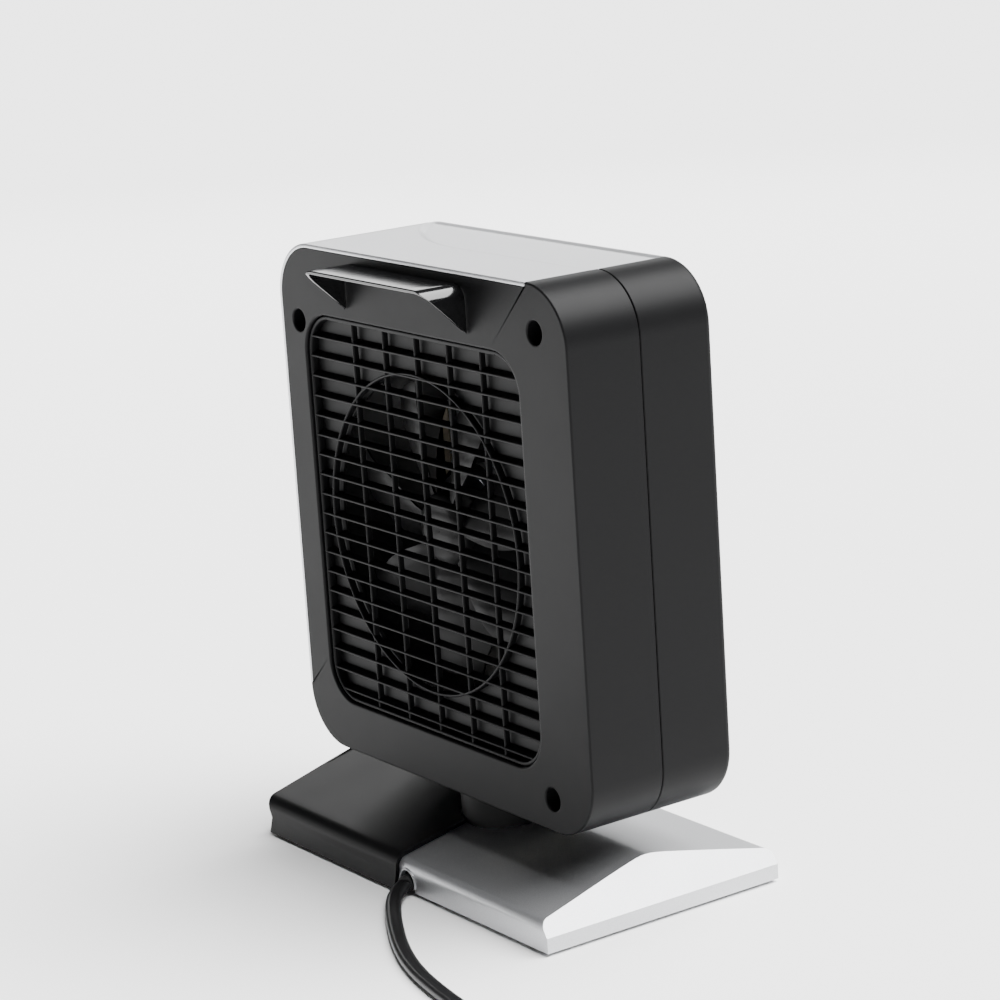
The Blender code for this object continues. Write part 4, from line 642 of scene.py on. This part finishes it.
dress(band, lacquer, "head", "silver", "silver_band")

# -------------------- inlet grille
# One moulding: twenty slats with rounded noses that thicken inwards, five uprights just behind them, and a
# round rib in front of the fan's mouth, in a slim rim that drops into the rear opening.
SLATS = 20
SLAT_PITCH = 0.00797
SLAT_LOWEST_UP = 0.0248
RIBS = 5
RIB_PITCH = 0.0214
RIB_MIDDLE = 0.0040
RING_RADIUS = 0.0622
grille_out = grille_high[1]
grille_in = grille_low[1]
RIM_WALL = 0.0014
inner_width = opening_width - 2 * (GAP + RIM_WALL)
inner_height = opening_height - 2 * (GAP + RIM_WALL)
inner_corner = OPENING_CORNER - 0.0017


def half_span(offset, half_long, half_short, corner):
    """Half the opening's span at an offset from its middle: full between the corners, and
    half_long - corner + sqrt(corner^2 - t^2) where a corner cuts it, t being how far into the corner."""
    t = np.maximum(abs(offset) - (half_short - corner), 0.0)
    return half_long - corner + math.sqrt(max(corner**2 - t**2, 0.0))


def slat_section(out_y, in_y, nose, rise):
    """A slat seen from its end: a round nose, a level underside and a top that climbs inwards by rise."""
    a = np.linspace(-math.pi / 2, math.pi / 2, 7)
    front = np.stack([out_y - nose + nose * np.cos(a), nose * np.sin(a)], axis=1)
    back = np.array([[in_y + 0.0003, nose + rise], [in_y, nose + rise - 0.0004], [in_y, -nose + 0.0003],
                     [in_y + 0.0003, -nose]])
    return np.concatenate([front, back])


BAR_SINK = 0.0004             # each bar's ends run this far into the rim
both_ends = np.array([[-1.0], [1.0]])


def level_bar(z, section):
    """A bar across the opening at height z."""
    half = half_span(z - opening_middle[1], inner_width / 2, inner_height / 2, inner_corner) + BAR_SINK
    return (grid_of(opening_middle[0] + half * both_ends, section[:, 0], z + section[:, 1]), *TUBE)


def upright_bar(x, section):
    """A bar from the bottom of the opening to its top, at x."""
    half = half_span(x - opening_middle[0], inner_height / 2, inner_width / 2, inner_corner) + BAR_SINK
    return (grid_of(x + section[:, 1], section[:, 0], opening_middle[1] + half * both_ends), *TUBE)


slat = slat_section(grille_out, grille_in, 0.00058, 0.0009)
bars = [level_bar(rear_low[2] + SLAT_LOWEST_UP + row * SLAT_PITCH, slat) for row in range(SLATS)]
rib = slat_section(grille_out - 0.0004, grille_in + 0.0002, 0.00050, 0.0)
bars += [upright_bar(axis_x + RIB_MIDDLE + (column - (RIBS - 1) / 2) * RIB_PITCH, rib)
         for column in range(RIBS)]
ring_section = slat_section(grille_out - 0.0001, grille_in + 0.0001, 0.00055, 0.0)
bars.append((lathe_y(*opening_middle, [(RING_RADIUS + v, y) for y, v in ring_section], 120), *HOOP))


def rim_rings(out_y, in_y, wall_y):
    """The rim: a rounded front edge, a slot-deep wall and a flange behind the casing's wall."""
    sign = 1.0 if out_y > in_y else -1.0
    section = [(-0.0003, out_y - sign * 0.0004), (-0.0005, out_y - sign * 0.0001), (-0.0008, out_y),
               (-0.0014, out_y), (-0.0017, out_y - sign * 0.0002), (-0.0019, out_y - sign * 0.0006),
               (-0.0019, in_y), (GRILLE_FLANGE, in_y), (GRILLE_FLANGE, wall_y), (-0.0003, wall_y)]
    return np.array([opening_ring(grow, y) for grow, y in section])


rim = rim_rings(grille_out, grille_in, FACE_Y - WALL - GAP)
grille = join_grids("inlet_grille_moulding", bars + [(rim, *HOOP)], 40.0)
dress(grille, matt_abs, "head", "black_satin", "inlet_grille")

# -------------------- baffle and fan duct
# Plain black mouldings behind the grille: a plate that closes the corners round the fan's mouth, and the
# round duct that leads the air to the heating element.
baffle_low, baffle_high = corners_of("inlet_baffle")
duct_low, duct_high = corners_of("fan_duct")
duct_outer = (duct_high[0] - duct_low[0]) / 2
duct_inner = duct_outer - 0.0015


def mouth_ring(radius, y):
    """A circle with as many points, at the same bearings, as the opening's outline."""
    bearing = opening_points / np.linalg.norm(opening_points, axis=1)[:, None]
    flat = opening_middle + radius * bearing
    return grid_of(flat[:, 0], y, flat[:, 1])


b_out, b_in = baffle_high[1], baffle_low[1]
plate = np.array([opening_ring(-0.0010, b_in), opening_ring(-0.0010, b_out),
                  mouth_ring(duct_inner + 0.0008, b_out), mouth_ring(duct_inner, b_out - 0.0006),
                  mouth_ring(duct_inner, b_in)])
baffle = join_grids("fan_mouth_plate", [(plate, *HOOP)], 30.0)
plain_black = finish_of("plain_black_moulding", "0b0b0c", 0.55, specular=0.2, bumps=(0.6, 0.03), spread=0.05)
dress(baffle, plain_black, "head", "black_inner", "inlet_baffle")
profile = [(duct_outer, duct_low[1]), (duct_outer, duct_high[1]), (duct_inner, duct_high[1]),
           (duct_inner, duct_low[1])]
duct = join_grids("round_fan_duct", [(lathe_y(*opening_middle, profile, 96), *HOOP)])
dress(duct, plain_black, "head", "black_inner", "fan_duct")

# -------------------- fan
# A seven-bladed axial impeller, moulded in one: cambered blades that flatten towards their tips.
fan_low, fan_high = corners_of("fan_impeller")
fan_mid_y = middle_of("fan_impeller")[1]
fan_deep = fan_high[1] - fan_low[1]
BLADES = 7
HUB_RADIUS = 0.0150
FAN_RADIUS = 0.0578
hub = [(0.0002, fan_high[1]), (0.0100, fan_high[1]), (0.0135, fan_high[1] - 0.0010),
       (HUB_RADIUS, fan_high[1] - 0.0030), (HUB_RADIUS, fan_low[1] + 0.0002), (0.0026, fan_low[1] + 0.0002),
       (0.0026, fan_high[1] - 0.0026), (0.0002, fan_high[1] - 0.0026)]
impeller = [(lathe_y(*opening_middle, hub, 56), *HOOP)]
span = np.linspace(0, 1, 14)[:, None]
chord = np.linspace(-0.5, 0.5, 12)[None, :]
radius = HUB_RADIUS - 0.0006 + span * (FAN_RADIUS - HUB_RADIUS + 0.0006)
pitch = np.radians(48 - 26 * span)
length = 0.018 + 0.016 * np.sin(math.pi * np.clip(span, 0, 0.86))
camber = 0.0018 * (1 - 4 * chord**2)
thick = 0.0007 + 0.0004 * (1 - span)
lean = np.radians(14) * span**1.5
for blade in range(BLADES):
    sheets = []
    for side in (1, -1):
        sweep = chord * length * np.cos(pitch)
        rise_y = chord * length * np.sin(pitch) * 0.62 + camber + side * thick / 2
        rise_y = np.clip(rise_y, -fan_deep / 2 + 0.0003, fan_deep / 2 - 0.0003)
        t = 2 * math.pi * blade / BLADES + sweep / radius + lean
        sheets.append(grid_of(opening_middle[0] + radius * np.cos(t), fan_mid_y + rise_y,
                              opening_middle[1] + radius * np.sin(t)))
    impeller.append((np.concatenate([sheets[0], sheets[1][:, ::-1]], axis=1), *TUBE))
fan = join_grids("axial_fan", impeller, 40.0)
fan_nylon = finish_of("glass_filled_black_nylon", "0a0a0b", 0.42, specular=0.2, bumps=(0.7, 0.02),
                      spread=0.05)
dress(fan, fan_nylon, "fan", "black_inner", "fan_impeller")

# -------------------- carry handle
# A glossy hood moulded separately and snapped into the rear shell: a thin shell with two rounded upper
# corners, deepest at the top, open below for the fingers.
hood_low, hood_high = corners_of("carry_handle")
HOOD_WALL = 0.0014
HOOD_CORNER = 0.0062
hood_foot = hood_low[1]
hood_reach = hood_high[1] - hood_low[1]
hood_tall = hood_high[2] - hood_low[2]


def hood_line(inset, corner_steps=14):
    """The hood seen from behind, drawn in by inset: up one end, round both corners and down the other."""
    left, right = hood_low[0] + inset, hood_high[0] - inset
    low, top, bend = hood_low[2] + inset * 0.9, hood_high[2] - inset, HOOD_CORNER - inset
    a = np.linspace(0, math.pi / 2, corner_steps)
    up = np.linspace(low, top - bend, 10)
    right_side = np.stack([np.full(10, right), up], axis=1)[:-1]
    right_arc = np.stack([right - bend + bend * np.cos(a), top - bend + bend * np.sin(a)], axis=1)
    level_x = np.linspace(right - bend, left + bend, 16)[1:-1]
    level_line = np.stack([level_x, np.full(len(level_x), top)], axis=1)
    left_arc = np.stack([left + bend - bend * np.sin(a), top - bend + bend * np.cos(a)], axis=1)
    left_side = np.stack([np.full(10, left), up[::-1]], axis=1)[1:]
    return np.concatenate([right_side, right_arc, level_line, left_arc, left_side])


def hood_sheet(inset, share):
    """The hood's skin at a share of the way from the casing to its rim; the rim runs out in a straight line
    from nothing at the foot to the full reach at the top."""
    line = hood_line(inset)
    rim_y = hood_reach * np.clip((line[:, 1] - hood_low[2]) / (hood_tall - 0.0014), 0, 1)
    return grid_of(line[:, 0], hood_foot + 0.0001 + share * np.maximum(rim_y - 0.0001, 0), line[:, 1])


RIM_START = 0.985             # the share of the way where the rim's rounding starts
skins = [hood_sheet(0.0, share) for share in np.linspace(0, RIM_START, 12)]
skins += [hood_sheet(HOOD_WALL * inwards, RIM_START + (1 - RIM_START) * gained)
          for inwards, gained in ((0.12, 0.7), (0.35, 1.0), (0.65, 1.0), (0.88, 0.7))]
skins += [hood_sheet(HOOD_WALL, share) for share in np.linspace(RIM_START, 0, 8)]
hood = join_grids("carry_handle_hood", [(np.array(skins), *WRAPPED_ROWS)], 40.0)

# Polished ABS: a clear black mirror, slightly waved by the moulding, so highlights have soft edges.
gloss_abs = finish_of("polished_black_abs", "0c0c0d", 0.12, specular=0.55)
gloss_tree = gloss_abs.node_tree
gloss_place = put(gloss_tree, "ShaderNodeTexCoord")
ripple = put(gloss_tree, "ShaderNodeTexNoise", {"Scale": 60.0, "Detail": 2.0},
             {"Vector": gloss_place.outputs["Object"]})
ripple_bump = put(gloss_tree, "ShaderNodeBump", {"Strength": 0.12, "Distance": 0.0003},
                  {"Height": ripple.outputs["Fac"]})
gloss_tree.links.new(ripple_bump.outputs["Normal"], gloss_tree.nodes["Principled BSDF"].inputs["Normal"])
dress(hood, gloss_abs, "head", "black_gloss", "carry_handle")

# -------------------- base shell
# A low ridged roof moulded in one and lacquered silver: short upright skirts, rounded eaves, two shallow
# slopes and a slanted gable at each end.
base_low, base_high = corners_of("base_shell")
wing_low, _ = corners_of("base_wing")
SLOPE = 0.199
SKIRT_Z = base_low[2]
RIDGE_Z = SKIRT_Z + 0.0221
BASE_HALF = base_high[1]
END_SKIRT = 0.0059
END_LEAN = 0.70
silver_end = axis_x - 0.0920
black_end = axis_x + 0.0945
WING_LIFT = 0.0018


def roof_line(lift, flare=0.0):
    """The base's section, from the near skirt's foot over the ridge to the far one: z is
    ridge - slope * sqrt(y^2 + soft^2) on the roof, with a round eave and an upright or flared skirt."""
    soft, eave = 0.0045, 0.0042 + lift
    half = BASE_HALF + lift
    turn = math.atan(SLOPE)
    ridge = RIDGE_Z + lift / math.cos(turn)
    corner_z = ridge - SLOPE * half
    reach = eave * math.tan((math.pi / 2 - turn) / 2)
    a = np.linspace(0, math.pi / 2 - turn, 9)
    arc_y = half - eave + eave * np.cos(a)
    arc_z = corner_z - reach + eave * np.sin(a)
    skirt_z = np.array([SKIRT_Z, SKIRT_Z + 0.0002, SKIRT_Z + END_SKIRT - 0.0006, SKIRT_Z + END_SKIRT,
                        SKIRT_Z + END_SKIRT + 0.0006])
    skirt_y = half + flare * np.clip((corner_z - reach - skirt_z) / 0.008, 0, 1) ** 1.4
    roof_y = np.linspace(arc_y[-1], 0, 26)[1:]
    roof_z = ridge - SLOPE * np.sqrt(roof_y**2 + soft**2) + SLOPE * 0.0002
    blend = np.clip((arc_y[-1] - roof_y) / 0.006, 0, 1)
    plain = ridge - SLOPE * roof_y
    roof_z = plain + (roof_z - plain) * blend
    near = np.concatenate([np.stack([skirt_y, skirt_z], axis=1), np.stack([arc_y, arc_z], axis=1),
                           np.stack([roof_y, roof_z], axis=1)])
    return np.concatenate([near, (near * [-1, 1])[:-1][::-1]])


def roof_cover(name, lift, low_x, high_x, thickness, low_leans, high_leans, flare=0.0):
    """The roof carried along X between two ends. A leaning end is upright to the skirt's height and then
    moves by lean * height; it is closed by a gable of level rows from the near side to the far side."""
    line = roof_line(lift, flare)
    count = len(line)
    climb = END_LEAN * np.maximum(line[:, 1] - SKIRT_Z - END_SKIRT, 0.0)
    low = low_x + climb * low_leans
    high = high_x + climb * high_leans
    share = np.linspace(0, 1, 9)[:, None]
    x = (1 - share) * low[None] + share * high[None]
    grids = [(grid_of(x, line[:, 0], line[:, 1]), *SHEET)]
    near = np.arange(count // 2 + 1)
    for leans, foot in ((low_leans, low), (high_leans, high)):
        if leans:
            span_y = np.linspace(1, -1, 15)[:, None] * line[None, near, 0]
            grids.append((grid_of(foot[near], span_y, line[near, 1]), *SHEET))
    cover = join_grids(name, grids, 30.0)
    wall = cover.modifiers.new("wall", "SOLIDIFY")
    wall.thickness = thickness
    wall.offset = -1.0
    wall.use_even_offset = True
    return cover


shell = roof_cover("silver_base_shell", 0.0, silver_end, black_end - WING_LIFT, 0.0019, True, True)
arch_x = axis_x - 0.0015
ARCH_RADIUS = 0.0046
LIP_RADIUS = 0.0051
LIP_THICK = 0.0005


def arch_cutter():
    """A plug for the cord arch: a half round on two upright sides, through the near skirt."""
    a = np.linspace(0, math.pi, 17)
    half_round = ARCH_RADIUS * np.stack([np.cos(a), np.sin(a)], axis=1)
    outline = np.concatenate([[[ARCH_RADIUS, -0.02]], half_round, [[-ARCH_RADIUS, -0.02]]])
    y = BASE_HALF + np.array([-0.006, 0.006])
    block = grid_of(arch_x + outline[:, 0], y[:, None], relief_z + outline[:, 1])
    return join_grids("cutter", [(block, *TUBE)])


carve(shell, arch_cutter(), axis_cutter(POST_RADIUS + 0.0003, 0.012, 0.030))
dress(shell, lacquer, "base", "silver", "base_shell")

# The thin lip round the cord arch, part of the same moulding.
a = np.linspace(-0.35, math.pi + 0.35, 33)
lip_line = grid_of(arch_x + LIP_RADIUS * np.cos(a), BASE_HALF + 0.0001, relief_z + LIP_RADIUS * np.sin(a))
t = np.linspace(0, 2 * np.pi, 10, endpoint=False)
out_way = grid_of(np.cos(a), 0.0, np.sin(a))[:, None]
lip_grid = lip_line[:, None] + LIP_THICK * (np.cos(t)[:, None] * out_way
                                            + np.sin(t)[:, None] * np.array([0.0, 1.0, 0.0]))
lip = join_grids("cord_arch_lip", [(lip_grid, *TUBE)], 60.0)
dress(lip, lacquer, "base", "silver")

# -------------------- black base cover
# A second skin of black ABS over half of the base, clipped on, with a thin edge that stands proud.
cover = roof_cover("black_base_cover", WING_LIFT, wing_low[0], black_end, 0.0014, False, True, 0.0016)
carve(cover, axis_cutter(NECK_RADIUS + 0.0005, 0.010, 0.034))
# Fine-grained ABS, a touch smoother than the head, so the slope takes a soft sheen.
cover_abs = finish_of("fine_black_abs", "0d0d0e", 0.38, specular=0.14, bumps=(0.35, 0.02), spread=0.03)
dress(cover, cover_abs, "base", "black_satin", "base_wing")

# -------------------- swivel neck
# A turned-looking collar moulded on the base post; the head turns on a nylon washer above it.
collar_top = float(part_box("thrust_washer")[0][2]) - 0.0003
post_top = corners_of("swivel_post")[1][2]
profile = [(NECK_RADIUS, 0.0172), (NECK_RADIUS, collar_top - 0.0012), (0.0216, collar_top - 0.0004),
           (0.0208, collar_top), (POST_RADIUS, collar_top), (POST_RADIUS, post_top), (0.0085, post_top),
           (0.0085, 0.0172)]
neck = join_grids("swivel_neck", [(lathe_z(axis_x, 0.0, profile), *HOOP)], 30.0)
dress(neck, matt_abs, "base", "black_satin", "swivel_post")

# -------------------- outlet grille
# The front louvres, thicker and wider apart than the inlet's, tied by two uprights.
outlet_low, outlet_high = corners_of("outlet_grille")
LOUVRES = 13
LOUVRE_PITCH = 0.0115
out_y, in_y = outlet_low[1], outlet_high[1]
louvre = slat_section(-out_y, -in_y, 0.00075, 0.0004) * [-1, 1]
front_bars = [level_bar(opening_middle[1] + (row - (LOUVRES - 1) / 2) * LOUVRE_PITCH, louvre)
              for row in range(LOUVRES)]
upright = slat_section(-out_y - 0.0005, -in_y + 0.0003, 0.0009, 0.0) * [-1, 1]
front_bars += [upright_bar(opening_middle[0] + side * opening_width / 6, upright) for side in (-1, 1)]
front_rim = rim_rings(out_y, in_y, front_low[1] + WALL + GAP)
outlet = join_grids("outlet_grille_moulding", front_bars + [(front_rim, *HOOP)], 40.0)
dress(outlet, matt_abs, "head", "black_satin", "outlet_grille")

# -------------------- heating element
# Zigzag aluminium fins glued between ceramic bars, in a resin frame: the fins run at 1.9 mm pitch.
fin_metal = finish_of("mill_finish_aluminium", "c2c4c7", 0.36, 1.0, bumps=(0.5, 0.01), spread=0.06)
FIN_PITCH = 0.0019
FIN_SHEET = 0.00025
for number in (1, 2, 3):
    low, high = corners_of(f"fin_pack_{number}")
    steps = int((high[0] - low[0] - 0.0006) / FIN_PITCH * 2)
    x = np.linspace(low[0] + 0.0004, high[0] - 0.0004, steps)
    z = np.where(np.arange(steps) % 2 == 0, low[2] + 0.0006, high[2] - 0.0006)
    z = np.stack([z + FIN_SHEET / 2, z - FIN_SHEET / 2])
    x = np.stack([x - FIN_SHEET / 2, x + FIN_SHEET / 2])
    rows = []
    for y, k in ((low[1], 0), (high[1], 0), (high[1], 1), (low[1], 1)):
        rows.append(grid_of(x[k], y, z[k]))
    zigzag = np.array(rows).transpose(1, 0, 2)
    strips = []
    for z0 in (low[2], high[2] - 0.0008):
        section = np.array([(low[1], z0), (high[1], z0), (high[1], z0 + 0.0008), (low[1], z0 + 0.0008)])
        strips.append((grid_of([[low[0]], [high[0]]], section[:, 0], section[:, 1]), *TUBE))
    pack = join_grids(f"fin_row_{number}", [(zigzag, *TUBE)] + strips, 20.0)
    dress(pack, fin_metal, "head", "aluminium", f"fin_pack_{number}")

# -------------------- knobs, button and lens
# Two polished knobs with fluted sides, a dished push button and an amber lens on the wide margin.
FLUTES = 24


def fluted_knob(node, name):
    """A lathe about Y whose radius is r * (1 - 0.045 * (1 + cos(flutes * t)) / 2) on the grip, with a bar
    across its face."""
    low, high = corners_of(node)
    x, _, z = middle_of(node)
    r = (high[0] - low[0]) / 2
    foot = front_low[1] - 0.0005
    face = low[1] + 0.0014
    t = np.linspace(0, 2 * np.pi, FLUTES * 6, endpoint=False)
    profile = np.array([(0.0, face), (r - 0.0030, face), (r - 0.0019, face + 0.0003),
                        (r - 0.0011, face + 0.0010), (r - 0.0008, face + 0.0020), (r - 0.0002, foot - 0.0020),
                        (r, foot - 0.0004), (r - 0.0003, foot), (0.0030, foot), (0.0030, high[1]),
                        (0.0, high[1])])
    depth = np.array([0, 0, 0, 0, 1, 1, 0, 0, 0, 0, 0])
    radius = profile[:, :1] * (1 - 0.045 * depth[:, None] * (1 + np.cos(FLUTES * t)) / 2)
    body = grid_of(x + radius * np.cos(t), profile[:, 1:], z + radius * np.sin(t))
    bar_x, bar_z = superellipse(0.0012, r * 0.44, 6.0, 24).T
    levels = [(face + 0.0006, 1.0), (face - 0.0010, 1.0), (face - 0.0014, 0.82)]
    bar = np.array([grid_of(x + bar_x * k, y, z + r * 0.30 + bar_z * (0.9 + 0.1 * k)) for y, k in levels])
    made = join_grids(name, [(body, *SLEEVE), (bar, *TUBE)], 32.0)
    dress(made, gloss_abs, node, "black_gloss", node)
    return x, z, r, face


thermostat_x, thermostat_z, knob_r, knob_face = fluted_knob("thermostat_knob", "fluted_thermostat_knob")
function_x, function_z, _, _ = fluted_knob("function_knob", "fluted_function_knob")

# White ink: a pad-printed line on each knob and plain tick marks round it on the casing.
INK_THICK = 0.00005
ink = finish_of("white_pad_print", "e9e9e6", 0.55, specular=0.3, bumps=(0.4, 0.004))


def ink_mark(x, z, angle, inner, outer, width, y):
    """A thin printed bar along a bearing from the dial's middle."""
    along = np.array([math.sin(angle), math.cos(angle)])
    aside = np.array([along[1], -along[0]]) * width / 2
    flat = np.array([along * inner - aside, along * outer - aside, along * outer + aside,
                     along * inner + aside]) + [x, z]
    return (grid_of(flat[:, 0], [[y], [y - INK_THICK]], flat[:, 1]), *TUBE)


TICK_START = 0.0012
marks = []
for k, angle in enumerate(np.radians(np.linspace(0, 270, 10))):
    marks.append(ink_mark(thermostat_x, thermostat_z, angle, knob_r + TICK_START, knob_r + 0.0026,
                          0.0007 if k == 0 else 0.0004, front_low[1]))
for angle in np.radians((0, 45, 90, 135)):
    marks.append(ink_mark(function_x, function_z, angle, knob_r + TICK_START, knob_r + 0.0030, 0.0007,
                          front_low[1]))
dial = join_grids("dial_ticks", marks, 30.0)
dress(dial, ink, "head", "black_satin")
for node, x, z in (("thermostat_knob", thermostat_x, thermostat_z),
                   ("function_knob", function_x, function_z)):
    mark = ink_mark(x, z, 0.0, TICK_START, knob_r * 0.70, 0.0007, knob_face - 0.00142)
    line = join_grids(f"{node}_line", [mark], 30.0)
    dress(line, ink, node, "black_gloss")

button_low, button_high = corners_of("oscillation_button")
bx, _, bz = middle_of("oscillation_button")
by, br, back = button_low[1], 0.0060, button_high[1]
profile = [(0.0, by + 0.0007), (0.0030, by + 0.0004), (0.0048, by + 0.0001), (0.0055, by),
           (0.0059, by + 0.0003), (br, by + 0.0009), (br, back - 0.0014), (0.0075, back - 0.0014),
           (0.0075, back), (0.0, back)]
button = join_grids("swing_button", [(lathe_y(bx, bz, profile, 56), *SLEEVE)], 35.0)
dress(button, gloss_abs, "oscillation_button", "black_gloss", "oscillation_button")

lens_low, lens_high = corners_of("pilot_lens")
lx, _, lz = middle_of("pilot_lens")
ly = lens_low[1]
profile = [(0.0, ly), (0.0010, ly + 0.0001), (0.0019, ly + 0.0005), (0.0024, ly + 0.0011),
           (0.0025, ly + 0.0016), (0.0025, lens_high[1]), (0.0, lens_high[1])]
lens = join_grids("pilot_lamp_lens", [(lathe_y(lx, lz, profile, 40), *SLEEVE)], 35.0)
amber = finish_of("amber_polycarbonate", "d9641c", 0.10, specular=0.5, ior=1.58)
amber.node_tree.nodes["Principled BSDF"].inputs["Transmission Weight"].default_value = 0.35
dress(lens, amber, "head", "amber", "pilot_lens")

# -------------------- parts seen only through gaps
# Plain finishes for the CAD pieces that stay as they are: zinc plate, white nylon, resin, ceramic, rubber.
in_finish(finish_of("zinc_plated_steel", "aeb1b6", 0.30, 1.0, bumps=(0.9, 0.006), spread=0.06),
          "motor_shaft", "fan_motor", "thermal_cut_out", "retaining_ring", "slotted_lever",
          "oscillation_motor", "oscillation_bracket", "tip_over_spring", "base_screw_1", "base_screw_4")
in_finish(finish_of("blackened_screw_steel", "1c1c1e", 0.42, 0.6, bumps=(0.7, 0.006), spread=0.05),
          *well_names)
in_finish(finish_of("natural_nylon", "d9d6cb", 0.45, specular=0.45, bumps=(0.8, 0.02), spread=0.05),
          "thermostat", "function_switch", "oscillation_switch", "thrust_washer", "drive_crank",
          "tip_over_plunger", "tip_over_switch", "terminal_block")
in_finish(finish_of("heat_resistant_resin", "8a8272", 0.58, specular=0.35, bumps=(0.8, 0.03), spread=0.05),
          "element_frame")
in_finish(finish_of("unglazed_ceramic", "d3cfc6", 0.72, specular=0.3, bumps=(0.5, 0.03), spread=0.05),
          "ceramic_bar_1", "ceramic_bar_2")
in_finish(finish_of("soft_foot_rubber", "1a1a1a", 0.78, specular=0.3, bumps=(0.6, 0.04), spread=0.05),
          "foot_1", "foot_2", "foot_3", "foot_4")
in_finish(plain_black, "motor_bracket", "base_plate")
